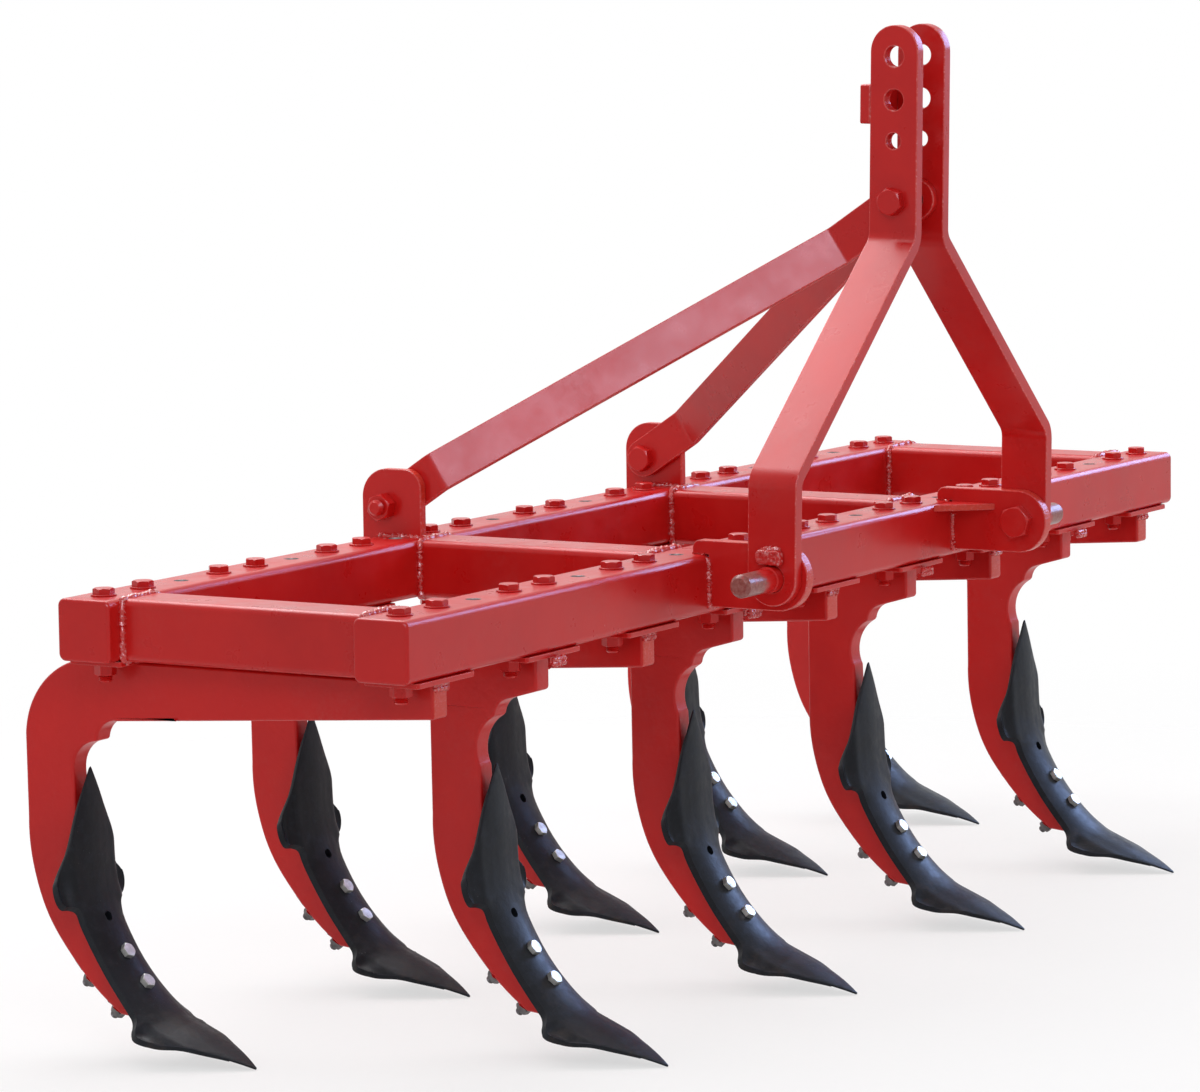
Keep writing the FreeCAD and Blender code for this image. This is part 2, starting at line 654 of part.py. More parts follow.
for side, hand in ((-1, "right"), (1, "left")):
    inner_x = V["leg_x"] - V["mast_thick"] / 2 - V["bracket_thick"]
    name = "hitch_bracket_" + hand
    face = FRONT_Y - V["beam_size"] / 2
    top = V["hitch_z"] + V["bracket_high"] / 2
    low = V["hitch_z"] - V["bracket_high"] / 2
    y = V["mast_y"]
    r = V["bracket_high"] / 2
    outline = [
        line((face, low), (y, low)),
        arc((y, low), (y - r, V["hitch_z"]), (y, top)),
        line((y, top), (face + 12, top)),
        arc((face + 12, top), (face + 19.1, top - 2.9), (face + 22, top - 10)),
        line((face + 22, top - 10), (face + 22, V["beam_top"])),
        line((face + 22, V["beam_top"]), (face, V["beam_top"])),
        line((face, V["beam_top"]), (face, low)),
    ]
    x0 = side * (inner_x + V["bracket_thick"] / 2)
    plate = bar(name + "_plate", outline, Placement(Vector(x0, 0, 0), YZ),
                "Dimensions.bracket_thick")
    drill = rod(name + "_drill", "Dimensions.pin_hole / 2", "60 mm",
                along_x(x0 - 30, y, V["hitch_z"]), Placement__Base__z="Dimensions.hitch_z")
    done(cut(name, plate, [drill]), name)

    name = "hitch_gusset_" + hand
    xi = side * inner_x
    corner = [(xi, face), (xi, face - 62), (xi - side * 52, face)]
    done(bar(name, polygon(corner), Placement(Vector(0, 0, V["beam_top"] - 9), XY), "8 mm", False),
         name)

    name = "hitch_pin_" + hand
    start = side * inner_x
    turn = Rotation(Vector(0, 1, 0), 90 * side)
    head = hexagon(name + "_head", "38 mm", "12 mm",
                   Placement(Vector(start - side * 12, y, V["hitch_z"]), turn))
    collar = rod(name + "_collar", "Dimensions.pin_collar / 2",
                 "%g + Dimensions.stop_thick" % (LEG_FACE + 2 - inner_x + 6),
                 Placement(Vector(start - side * 6, y, V["hitch_z"]), turn))
    shank = rod(name + "_shank", "Dimensions.pin_dia / 2",
                "Dimensions.pin_tip_x - 4 - %g" % (inner_x - 6),
                Placement(Vector(start - side * 6, y, V["hitch_z"]), turn))
    cone = doc.addObject("Part::Cone", name + "_tip")
    cone.Placement = Placement(Vector(side * (V["pin_tip_x"] - 4), y, V["hitch_z"]), turn)
    bind(cone, Radius1="Dimensions.pin_dia / 2", Radius2="Dimensions.pin_dia / 2 - 4")
    cone.Height = 4
    done(join(name, [head, collar, shank, cone]), name)

    name = "pin_stop_" + hand
    stop = bar(name, rounded_box(y, V["hitch_z"] + 26.5, 34, 18, 5),
               Placement(Vector(side * LEG_FACE, 0, 0), YZ),
               "%d * Dimensions.stop_thick" % side, False)
    done(stop, name)

# ---------------------------------------------------------------- braces and their lugs

TOP_SPOT = LEAN.multVec(Vector(0, V["mast_y"], V["mast_bolt_z"]))
TOP_BOLT = (TOP_SPOT.y, TOP_SPOT.z)
LOW_BOLT = (V["lug_bolt_y"], V["lug_bolt_z"])
RUN = math.hypot(TOP_BOLT[0] - LOW_BOLT[0], TOP_BOLT[1] - LOW_BOLT[1])
SLOPE = math.degrees(math.atan2(TOP_BOLT[1] - LOW_BOLT[1], TOP_BOLT[0] - LOW_BOLT[0]))
LUG_X = 322.6                        # middle of the lug's thickness
BRACE_TOP_X = V["mast_gap"] / 2 - V["brace_thick"] / 2
BRACE_LOW_X = LUG_X - V["lug_thick"] / 2 - V["brace_thick"] / 2
UP_FRAME = Rotation(Vector(1, 0, 0), SLOPE)   # carries +Y along the brace, from lug to mast

for side, hand in ((-1, "right"), (1, "left")):
    name = "brace_" + hand
    end = V["brace_wide"] / 2
    path = [(side * BRACE_LOW_X, -end - 5), (side * BRACE_LOW_X, 78),
            (side * BRACE_TOP_X, RUN - 103), (side * BRACE_TOP_X, RUN + end + 5)]
    here = Placement(Vector(0, LOW_BOLT[0], LOW_BOLT[1]), UP_FRAME)
    bent = bar(name + "_flat_bar", strip(path, V["brace_thick"], 20.0), here,
               "Dimensions.brace_wide")
    ends = bar(name + "_ends",
               [line((end, 0), (end, RUN)), arc((end, RUN), (0, RUN + end), (-end, RUN)),
                line((-end, RUN), (-end, 0)), arc((-end, 0), (0, -end), (end, 0))],
               Placement(here.Base, UP_FRAME.multiply(Rotation(Vector(0, 1, 0), 90))), "900 mm")
    drills = [rod("%s_drill_%d" % (name, i), "Dimensions.brace_hole / 2", "900 mm",
                  along_x(-450, p[0], p[1])) for i, p in enumerate((TOP_BOLT, LOW_BOLT))]
    done(cut(name, overlap(name + "_formed", [bent, ends]), drills), name)

    name = "brace_lug_" + hand
    back = REAR_Y + V["beam_size"] / 2
    near = REAR_Y - 29
    far = REAR_Y + 57
    top = 624.0
    low = V["beam_top"] - 28
    outline = [
        line((near, V["beam_top"]), (near, top - 24)),
        arc((near, top - 24), (near + 7, top - 7), (near + 24, top)),
        line((near + 24, top), (far - 36, top)),
        arc((far - 36, top), (far - 10.5, top - 10.5), (far, top - 36)),
        line((far, top - 36), (far, low)),
        line((far, low), (back, low)),
        line((back, low), (back, V["beam_top"])),
        line((back, V["beam_top"]), (near, V["beam_top"])),
    ]
    plate = bar(name + "_plate", outline, Placement(Vector(side * LUG_X, 0, 0), YZ),
                "Dimensions.lug_thick")
    drill = rod(name + "_drill", "Dimensions.brace_hole / 2", "60 mm",
                along_x(side * LUG_X - 30, LOW_BOLT[0], LOW_BOLT[1]))
    done(cut(name, plate, [drill]), name)

    name = "lug_bolt_" + hand
    inner = side * (BRACE_LOW_X - V["brace_thick"] / 2)
    outer = side * (LUG_X + V["lug_thick"] / 2)
    turn = Rotation(Vector(0, 1, 0), 90 * side)
    head = hexagon(name + "_head", "Dimensions.brace_bolt_flats", "Dimensions.brace_bolt_head",
                   Placement(Vector(inner - side * V["brace_bolt_head"], *LOW_BOLT), turn))
    nut = hexagon(name + "_nut", "Dimensions.brace_bolt_flats", "16 mm",
                  Placement(Vector(outer, *LOW_BOLT), turn))
    shank = rod(name + "_shank", "Dimensions.brace_bolt / 2", "54 mm",
                Placement(Vector(inner - side * 6, *LOW_BOLT), turn))
    done(join(name, [head, shank, nut]), name)

name = "mast_bolt"
turn = Rotation(Vector(0, 1, 0), 90)
head = hexagon(name + "_head", "Dimensions.brace_bolt_flats", "Dimensions.brace_bolt_head",
               Placement(Vector(-MAST_FACE - V["brace_bolt_head"], *TOP_BOLT), turn))
nut = hexagon(name + "_nut", "Dimensions.brace_bolt_flats", "16 mm",
              Placement(Vector(MAST_FACE, *TOP_BOLT), turn))
shank = rod(name + "_shank", "Dimensions.brace_bolt / 2", "118 mm",
            Placement(Vector(-MAST_FACE - 6, *TOP_BOLT), turn))
done(join(name, [head, shank, nut]), name)

# ---------------------------------------------------------------- build and write

doc.recompute()
for obj in doc.Objects:
    if any(s in ("Invalid", "Error") for s in obj.State):
        raise RuntimeError("%s is not valid: %s" % (obj.Name, obj.State))
os.makedirs("parts", exist_ok=True)
for obj in PARTS:
    if obj.Shape.isNull() or not obj.Shape.isValid():
        raise RuntimeError("%s has no valid shape" % obj.Label)
    obj.Shape.exportStep(os.path.join("parts", obj.Label + ".step"))
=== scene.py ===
import json
import math
import random

import bmesh
import bpy
from bpy.props import FloatProperty, FloatVectorProperty, IntProperty, PointerProperty
from mathutils import Matrix, Vector
from mathutils.kdtree import KDTree

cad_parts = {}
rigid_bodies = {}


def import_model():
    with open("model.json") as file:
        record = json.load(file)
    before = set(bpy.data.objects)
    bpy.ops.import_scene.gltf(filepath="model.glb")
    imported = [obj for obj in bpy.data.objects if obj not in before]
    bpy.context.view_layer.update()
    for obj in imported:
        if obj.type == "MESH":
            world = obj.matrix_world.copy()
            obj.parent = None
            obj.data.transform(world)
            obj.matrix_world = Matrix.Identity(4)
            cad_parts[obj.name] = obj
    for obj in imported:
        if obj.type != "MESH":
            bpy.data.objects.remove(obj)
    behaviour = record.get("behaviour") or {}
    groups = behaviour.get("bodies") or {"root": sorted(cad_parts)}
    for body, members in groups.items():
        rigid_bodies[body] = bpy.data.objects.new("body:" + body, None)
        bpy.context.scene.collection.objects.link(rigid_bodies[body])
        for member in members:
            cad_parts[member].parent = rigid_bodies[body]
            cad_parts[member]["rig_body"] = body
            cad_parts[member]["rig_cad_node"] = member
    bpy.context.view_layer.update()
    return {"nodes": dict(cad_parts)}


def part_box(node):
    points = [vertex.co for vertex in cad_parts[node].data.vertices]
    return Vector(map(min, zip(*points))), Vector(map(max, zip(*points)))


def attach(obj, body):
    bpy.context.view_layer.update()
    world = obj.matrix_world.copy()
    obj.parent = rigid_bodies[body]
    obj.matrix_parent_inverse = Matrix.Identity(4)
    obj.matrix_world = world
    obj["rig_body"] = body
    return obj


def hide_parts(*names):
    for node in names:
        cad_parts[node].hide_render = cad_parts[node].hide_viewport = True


bl_info = {
    "name": "Field cultivator",
    "version": (1, 0, 0),
    "blender": (4, 5, 0),
    "location": "View3D > Sidebar > Cultivator",
    "description": "Paint, forgings, bolts and welds of a nine-tine field cultivator",
    "category": "Object",
}

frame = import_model()
NODES = frame["nodes"]
BODY = "root"
RED_SLOT, BLACK_SLOT, ZINC_SLOT = "red_paint", "black_forging", "zinc_bolt"
MM = 0.001

# Sizes that the part's source has too.
HOLE_PITCH = 76.2 * MM
HOLE_COUNT = 26
MAST_GAP = 56.0 * MM
MAST_THICK = 16.0 * MM
TINES = range(1, 10)
# Directions of the upper and the lower shovel bolt into the tine, as (y, z).
BOLT_AXES = ((0.815, -0.579), (0.740, -0.673))

# ---------------------------------------------------------------- small helpers


def pick(*objects):
    """Deselects everything, then selects the given objects and makes the first one active."""
    if bpy.context.mode != "OBJECT":
        bpy.ops.object.mode_set(mode="OBJECT")
    bpy.ops.object.select_all(action="DESELECT")
    for obj in objects:
        obj.select_set(True)
    bpy.context.view_layer.objects.active = objects[0]
    return objects[0]


def name_it(name):
    """Names the active object and its mesh."""
    obj = bpy.context.active_object
    obj.name = name
    obj.data.name = name
    return obj


def modify(obj, kind, **settings):
    """Adds a modifier and applies it."""
    pick(obj)
    modifier = obj.modifiers.new(kind.title(), kind)
    for key, value in settings.items():
        setattr(modifier, key, value)
    bpy.ops.object.modifier_apply(modifier=modifier.name)
    return obj


def bake_place(obj):
    """Moves an object's place, turn and scale into its mesh."""
    pick(obj)
    bpy.ops.object.transform_apply(location=True, rotation=True, scale=True)
    return obj


def smooth(obj, degrees=35):
    """Smooth shading, apart from the edges that are sharper than the angle."""
    pick(obj)
    bpy.ops.object.shade_smooth_by_angle(angle=math.radians(degrees))
    return obj


def repaint(obj, index, test):
    """Gives the faces that pass the test another of the piece's materials."""
    for polygon in obj.data.polygons:
        if test(polygon.center, polygon.normal):
            polygon.material_index = index


def one_finish(obj):
    """Gives all faces of a piece its first material."""
    for polygon in obj.data.polygons:
        polygon.material_index = 0


def finish_piece(obj, slot, finish, *nodes):
    """Gives a piece its finish and its body, weighted normals where its slot is the red paint's,
    and hides the CAD nodes it stands for.

    The finish is one material, or three where round_edges and repaint have told faces apart.
    """
    if isinstance(finish, tuple):
        for i, kind in enumerate(finish):
            obj.data.materials[i] = kind
    else:
        obj.data.materials.clear()
        obj.data.materials.append(finish)
        one_finish(obj)
    if slot == RED_SLOT:
        modify(obj, "WEIGHTED_NORMAL", keep_sharp=True)
    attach(obj, BODY)
    if nodes:
        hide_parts(*nodes)
    return obj


def nodes_with(*words):
    """Names of the CAD nodes that have one of the words in them, in alphabetical order."""
    return [node for node in sorted(NODES) if any(word in node for word in words)]


def corners_of(node):
    """The corner points of each separate solid of a CAD node."""
    mesh = bmesh.new()
    mesh.from_mesh(NODES[node].data)
    bmesh.ops.remove_doubles(mesh, verts=mesh.verts, dist=1e-6)
    seen, solids = set(), []
    for start in mesh.verts:
        if start in seen:
            continue
        seen.add(start)
        stack, group = [start], []
        while stack:
            vertex = stack.pop()
            group.append(vertex.co.copy())
            for edge in vertex.link_edges:
                other = edge.other_vert(vertex)
                if other not in seen:
                    seen.add(other)
                    stack.append(other)
        solids.append(group)
    mesh.free()
    return solids


def solids_of(node):
    """Boxes (low, high) of the separate solids of a CAD node, sorted from right to left."""
    boxes = []
    for group in corners_of(node):
        low = Vector(min(p[i] for p in group) for i in range(3))
        high = Vector(max(p[i] for p in group) for i in range(3))
        boxes.append((low, high))
    return sorted(boxes, key=lambda b: (round(b[0].x, 3), round(b[0].y, 3)))


def outer_face(points, outward):
    """Centre of the flat face of a solid that lies furthest in the given direction."""
    outward = Vector(outward).normalized()
    reach = max(p.dot(outward) for p in points)
    face = [p for p in points if p.dot(outward) > reach - 1e-5]
    return sum(face, Vector()) / len(face)


def copy_of(node, name, whole_faces=True):
    """A copy of a CAD node's mesh with its doubles merged and its flat faces made whole.

    It has three places for materials, which finish_piece fills.
    """
    pick(NODES[node])
    bpy.ops.object.duplicate(linked=False)
    obj = name_it(name)
    obj.parent = None
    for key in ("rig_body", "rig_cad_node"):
        if key in obj:
            del obj[key]
    pick(obj)
    bpy.ops.object.mode_set(mode="EDIT")
    bpy.ops.mesh.select_all(action="SELECT")
    bpy.ops.mesh.customdata_custom_splitnormals_clear()
    bpy.ops.mesh.remove_doubles(threshold=0.00001)
    if whole_faces:
        bpy.ops.mesh.dissolve_limited(angle_limit=math.radians(0.5))
    bpy.ops.object.mode_set(mode="OBJECT")
    obj.data.materials.clear()
    one_finish(obj)
    for _ in range(3):
        obj.data.materials.append(enamel())
    return obj


def round_edges(obj, width, segments, sharper_than=32, where=None, worn=-1):
    """Bevels the sharp edges of a mesh, all of them or those that the test picks by place.

    The new faces get the material with the number worn, or their neighbours' if it is -1. On the
    plates and the beams' hole rims that is the paler edge enamel: worn paint and a painted
    highlight.
    """
    pick(obj)
    bpy.ops.object.mode_set(mode="EDIT")
    bpy.ops.mesh.select_mode(type="EDGE")
    bpy.ops.mesh.select_all(action="DESELECT")
    mesh = bmesh.from_edit_mesh(obj.data)
    limit = math.radians(sharper_than)
    for edge in mesh.edges:
        if len(edge.link_faces) == 2 and edge.calc_face_angle() > limit:
            a, b = (v.co for v in edge.verts)
            edge.select = where is None or where(a, b)
    mesh.select_flush_mode()
    bmesh.update_edit_mesh(obj.data)
    bpy.ops.mesh.bevel(offset_type="OFFSET", offset=width, segments=segments, profile=0.5,
                       affect="EDGES", clamp_overlap=False, material=worn)
    bpy.ops.mesh.select_mode(type="VERT")
    bpy.ops.object.mode_set(mode="OBJECT")
    return obj


def lumpy(obj, height):
    """Swells a welded block unevenly, with one finish all over."""
    modify(obj, "SUBSURF", levels=2, render_levels=2)
    clouds = bpy.data.textures.new("weld_clouds", "CLOUDS")
    clouds.noise_scale = 12 * MM
    modify(obj, "DISPLACE", texture=clouds, texture_coords="LOCAL", strength=height,
           mid_level=0.5)
    one_finish(obj)
    return smooth(obj, 80)


def turned(name, profile, sides):
    """A round piece about the Z axis, drawn up ring by ring from (radius, height) pairs."""
    radius, height = profile[0]
    bpy.ops.object.select_all(action="DESELECT")
    bpy.ops.mesh.primitive_circle_add(vertices=sides, radius=radius, fill_type="NGON",
                                      location=(0, 0, height))
    obj = name_it(name)
    bake_place(obj)
    bpy.ops.object.mode_set(mode="EDIT")
    bpy.ops.mesh.select_all(action="SELECT")
    for next_radius, next_height in profile[1:]:
        bpy.ops.mesh.extrude_region_move(
            TRANSFORM_OT_translate={"value": (0, 0, next_height - height)})
        scale = next_radius / radius
        bpy.ops.transform.resize(value=(scale, scale, 1), center_override=(0, 0, next_height))
        radius, height = next_radius, next_height
    bpy.ops.mesh.select_all(action="SELECT")
    bpy.ops.mesh.normals_make_consistent(inside=False)
    bpy.ops.object.mode_set(mode="OBJECT")
    return obj


def hexagon(name, flats, height, chamfers=("top",)):
    """A hexagon standing on z = 0, with the rounded corners that a turned chamfer leaves."""
    bpy.ops.object.select_all(action="DESELECT")
    bpy.ops.mesh.primitive_cylinder_add(vertices=6, radius=flats / math.sqrt(3), depth=height,
                                        location=(0, 0, height / 2))
    obj = bake_place(name_it(name))
    end_radius = flats * 0.485
    far_radius = end_radius + height * math.sqrt(3)
    for end in chamfers:
        foot, top = (far_radius, end_radius) if end == "top" else (end_radius, far_radius)
        bpy.ops.object.select_all(action="DESELECT")
        bpy.ops.mesh.primitive_cone_add(vertices=48, depth=height, radius1=foot, radius2=top,
                                        location=(0, 0, height / 2))
        cone = bake_place(name_it("chamfer"))
        modify(obj, "BOOLEAN", operation="INTERSECT", object=cone, solver="EXACT")
        bpy.data.objects.remove(cone)
    return obj


def merged(name, pieces):
    """Joins pieces into one."""
    pick(*pieces)
    if len(pieces) > 1:
        bpy.ops.object.join()
    return name_it(name)


def stamp(source, places, name):
    """Copies a piece, each copy with its own mesh, to every place, and joins the copies."""
    copies = []
    for place in places:
        pick(source)
        bpy.ops.object.duplicate(linked=False)
        made = bpy.context.active_object
        made.matrix_world = place
        copies.append(bake_place(made))
    bpy.data.objects.remove(source)
    return merged(name, copies)


def pointing(spot, direction, twist=0.0):
    """Matrix that stands a piece on a spot with its +Z along a direction."""
    turn = Vector(direction).normalized().to_track_quat("Z", "Y").to_matrix().to_4x4()
    return Matrix.Translation(Vector(spot)) @ turn @ Matrix.Rotation(twist, 4, "Z")


# ---------------------------------------------------------------- materials

DUST = (0.44, 0.10, 0.085, 1)
CHIPPED = (0.62, 0.24, 0.22, 1)
# Pale pink of the painted highlights, put into the enamel's colour.
PAINTED_GLINT = (0.72, 0.30, 0.31, 1)
SOIL = (0.055, 0.042, 0.034, 1)
RUBBED = (0.16, 0.16, 0.17, 1)
STAIN = (0.20, 0.16, 0.12, 1)
RUSTY, DUSTY_STEEL = (0.16, 0.045, 0.040, 1), (0.30, 0.15, 0.13, 1)
WHITE = (1, 1, 1, 1)


def feed(tree, socket, value):
    """Links a socket to the one given, or sets it to the value given."""
    if isinstance(value, bpy.types.NodeSocket):
        tree.links.new(value, socket)
    else:
        socket.default_value = value


def add(tree, kind, inputs=None, **settings):
    """Adds a shader node with its settings and its inputs' values or links."""
    made = tree.nodes.new(kind)
    for key, value in settings.items():
        setattr(made, key, value)
    for key, value in (inputs or {}).items():
        feed(tree, made.inputs[key], value)
    return made


def object_place(tree):
    return add(tree, "ShaderNodeTexCoord").outputs["Object"]


def one_axis(tree, where, axis):
    return add(tree, "ShaderNodeSeparateXYZ", {"Vector": where}).outputs[axis]


def noise(tree, where, scale, detail, roughness=0.55):
    return add(tree, "ShaderNodeTexNoise", {
        "Vector": where, "Scale": scale, "Detail": detail,
        "Roughness": roughness}).outputs["Fac"]


def spread(tree, value, low, high, to_low=0.0, to_high=1.0):
    """Value stretched from one range to another, clamped."""
    return add(tree, "ShaderNodeMapRange", {
        "Value": value, "From Min": low, "From Max": high, "To Min": to_low,
        "To Max": to_high}, clamp=True).outputs["Result"]


def maths(tree, operation, a, b=0.0):
    return add(tree, "ShaderNodeMath", {0: a, 1: b}, operation=operation).outputs[0]


def times(tree, a, b):
    return maths(tree, "MULTIPLY", a, b)


def blend(tree, share, a, b):
    """Colour a with the given share of colour b over it."""
    return add(tree, "ShaderNodeMix", {0: share, 6: a, 7: b}, data_type="RGBA").outputs[2]


def bumped(tree, height, strength, distance, under=None):
    """A normal that follows the height, on top of an earlier one."""
    inputs = {"Height": height, "Strength": strength, "Distance": distance}
    if under is not None:
        inputs["Normal"] = under
    return add(tree, "ShaderNodeBump", inputs).outputs["Normal"]


def looked_at(tree):
    """1 on rays from the viewer, also by way of gloss or glass, and 0 on rays of plain light."""
    path = add(tree, "ShaderNodeLightPath").outputs
    seen = maths(tree, "MAXIMUM", path["Is Camera Ray"], path["Is Glossy Ray"])
    return maths(tree, "MAXIMUM", seen, path["Is Transmission Ray"])


def shifted(rgb, red, green, blue):
    return (rgb[0] * red, rgb[1] * green, rgb[2] * blue, 1.0)


def colour(rgb, factor=1.0):
    return shifted(rgb, factor, factor, factor)


def new_material(name):
    made = bpy.data.materials.new(name)
    made.use_nodes = True
    tree = made.node_tree
    return made, tree, tree.nodes["Principled BSDF"]


def set_inputs(tree, shader, values):
    for key, value in values.items():
        feed(tree, shader.inputs[key], value)


def paint(name, rgb, lumps=0.0, gloss=0.30, grime=0.25, bright=0.0, drag=0.0, shine=0.24):
    """Thick red enamel: cloudy depth of colour, orange peel, dust in patches, small chips.

    grime is the share of dust, gloss the roughness of clean paint, and shine its mirroring.
    lumps adds a forging's or a weld's unevenness, the glint share paints pale highlights
    in the colour, as of light off weld ripples, and drag adds the lines of a flame-cut face.
    """
    made, tree, shader = new_material(name)
    where = object_place(tree)
    broad = noise(tree, where, 4.0, 2.0)
    cloud = noise(tree, where, 23.0, 4.0, 0.6)
    fine = noise(tree, where, 160.0, 3.0)
    base = blend(tree, spread(tree, broad, 0.35, 0.68), colour(rgb, 1.05),
                 shifted(rgb, 0.86, 0.8, 0.9))
    base = blend(tree, spread(tree, cloud, 0.45, 0.8, 0.0, 0.35), base,
                 shifted(rgb, 1.12, 2.2, 1.6))
    dusty = times(tree, spread(tree, noise(tree, where, 9.0, 6.0, 0.7), 0.52, 0.78),
                  spread(tree, fine, 0.35, 0.7))
    dusty = times(tree, dusty, grime)
    base = blend(tree, dusty, base, DUST)
    specks = spread(tree, noise(tree, where, 420.0, 2.0, 0.5), 0.755, 0.78, 0.0, 0.7)
    patches = spread(tree, noise(tree, where, 13.0, 3.0), 0.58, 0.66)
    base = blend(tree, times(tree, specks, patches), base, CHIPPED)
    # Painted highlights: pale pink flecks in the base colour that stand in for light off ripples
    # and edges.
    if bright:
        glints = spread(tree, noise(tree, where, 300.0, 3.0, 0.6), 0.52, 0.66, 0.0, bright)
        zones = spread(tree, noise(tree, where, 40.0, 2.0), 0.36, 0.6, 0.25, 1.0)
        base = blend(tree, times(tree, glints, zones), base, PAINTED_GLINT)
    rough = spread(tree, cloud, 0.3, 0.75, gloss - 0.05, gloss + 0.09)
    rough = maths(tree, "ADD", rough, times(tree, dusty, 0.5))
    peel = bumped(tree, noise(tree, where, 330.0, 2.0, 0.5), 0.10, 0.0004)
    waves = bumped(tree, noise(tree, where, 16.0, 2.0), 0.22, 0.0025, peel)
    if lumps:
        waves = bumped(tree, noise(tree, where, 70.0, 5.0, 0.6), lumps, 0.0022, waves)
    if drag:
        lines = add(tree, "ShaderNodeMapping", {"Vector": where, "Scale": (40, 160, 420)})
        waves = bumped(tree, noise(tree, lines.outputs["Vector"], 1.0, 3.0), drag, 0.0010, waves)
    set_inputs(tree, shader, {
        "Base Color": base, "Roughness": rough, "Normal": waves, "Specular IOR Level": shine,
        "Coat Weight": 0.08, "Coat Roughness": 0.10})
    return made


def forging(name, rgb):
    """Blackened spring steel: scale, a bluish cast, scuffs and dry soil low down."""
    made, tree, shader = new_material(name)
    where = object_place(tree)
    broad = noise(tree, where, 11.0, 4.0, 0.6)
    scale = noise(tree, where, 85.0, 6.0, 0.65)
    grain = noise(tree, where, 400.0, 3.0, 0.6)
    base = blend(tree, spread(tree, broad, 0.35, 0.7), colour(rgb, 0.75), colour(rgb, 1.5))
    base = blend(tree, spread(tree, scale, 0.5, 0.75, 0.0, 0.5), base, colour(rgb, 2.6))
    low_down = spread(tree, one_axis(tree, where, "Z"), 0.015, 0.12, 1.0, 0.12)
    soil = times(tree, spread(tree, noise(tree, where, 30.0, 6.0, 0.7), 0.52, 0.68), low_down)
    soil = times(tree, soil, 0.5)
    base = blend(tree, soil, base, SOIL)
    rubs = times(tree, spread(tree, grain, 0.66, 0.74),
                 spread(tree, noise(tree, where, 24.0, 3.0), 0.55, 0.7))
    base = blend(tree, times(tree, rubs, 0.6), base, RUBBED)
    rough = maths(tree, "ADD", spread(tree, scale, 0.3, 0.7, 0.34, 0.52),
                  times(tree, soil, 0.5))
    skin = bumped(tree, grain, 0.14, 0.0005)
    skin = bumped(tree, scale, 0.30, 0.0012, skin)
    skin = bumped(tree, broad, 0.35, 0.004, skin)
    set_inputs(tree, shader, {
        "Base Color": base, "Roughness": rough, "Normal": skin, "Specular IOR Level": 0.13,
        "Coat Weight": 0.03, "Coat Roughness": 0.25})
    return made


def plated(name, rgb, metallic=0.85, gloss=0.38):
    """Zinc-plated bolt steel, dulled and lightly stained."""
    made, tree, shader = new_material(name)
    where = object_place(tree)
    cloud = noise(tree, where, 120.0, 4.0, 0.6)
    fine = noise(tree, where, 700.0, 3.0)
    base = blend(tree, spread(tree, cloud, 0.35, 0.7), colour(rgb), colour(rgb, 0.6))
    stain = spread(tree, noise(tree, where, 260.0, 5.0, 0.7), 0.6, 0.75, 0.0, 0.6)
    base = blend(tree, stain, base, STAIN)
    rough = spread(tree, cloud, 0.3, 0.7, gloss - 0.06, gloss + 0.14)
    set_inputs(tree, shader, {
        "Base Color": base, "Roughness": rough, "Metallic": metallic,
        "Normal": bumped(tree, fine, 0.12, 0.0003)})
    return made


def worn_pin(name, rgb, bare_from, bare_to):
    """Red paint rubbed off to dusty steel towards the outer end of a hitch pin."""
    made = paint(name, rgb)
    tree = made.node_tree
    painted = tree.nodes["Principled BSDF"].inputs["Base Color"]
    where = object_place(tree)
    out = spread(tree, maths(tree, "ABSOLUTE", one_axis(tree, where, "X")), bare_from, bare_to)
    patches = spread(tree, noise(tree, where, 55.0, 5.0, 0.7), 0.3, 0.7, -0.45, 0.35)
    rubbed = spread(tree, maths(tree, "ADD", out, patches), 0.35, 0.8, 0.0, 0.85)
    bare = blend(tree, spread(tree, noise(tree, where, 190.0, 5.0, 0.7), 0.35, 0.65),
                 RUSTY, DUSTY_STEEL)
    base = blend(tree, rubbed, painted.links[0].from_socket, bare)
    tree.links.new(base, painted)
    return made


# ---------------------------------------------------------------- settings


def length(name, text, default):
    return FloatProperty(name=name, description=text, default=default, min=0.0,
                         subtype="DISTANCE", unit="LENGTH")


def tint(name, text, default):
    return FloatVectorProperty(name=name, description=text, default=default, size=3,
                               min=0.0, max=1.0, subtype="COLOR")


class CultivatorColours(bpy.types.PropertyGroup):
    enamel: tint("Enamel", "Red of the frame, mast and tines", (0.53, 0.0085, 0.0075))
    black: tint("Forging", "Blackened steel of the shovels", (0.008, 0.0095, 0.013))
    zinc: tint("Zinc", "Plated bolts of the shovels", (0.62, 0.63, 0.60))


class CultivatorSizes(bpy.types.PropertyGroup):
    forging_round: length("Forging edge", "Rounding of the tines' edges", 3.6 * MM)
    plate_round: length("Plate edge", "Rounding of the mast and hitch plates", 1.5 * MM)
    tube_round: length("Hole rim", "Rounding of the beams' hole rims", 0.7 * MM)
    cap_round: length("End cap edge", "Rounding of the beams' closed ends", 4.0 * MM)
    bead: length("Weld bead", "Radius of a frame weld", 4.6 * MM)
    bolt_flats: length("Clamp bolt", "Width across the flats of the clamp bolts", 22.0 * MM)
    bolt_head: length("Clamp head", "Height of the clamp bolts' heads", 7.0 * MM)
    shovel_flats: length("Shovel bolt", "Width across the flats of the shovel bolts", 16.0 * MM)
    weld_seed: IntProperty(name="Weld seed", description="Seed of the beads' unevenness",
                           default=7)


def sizes():
    return bpy.context.scene.cultivator_sizes


def colours():
    return bpy.context.scene.cultivator_colours


def material(name, make, *values, **more):
    """The named material, made at its first use."""
    return bpy.data.materials.get(name) or make(name, *values, **more)


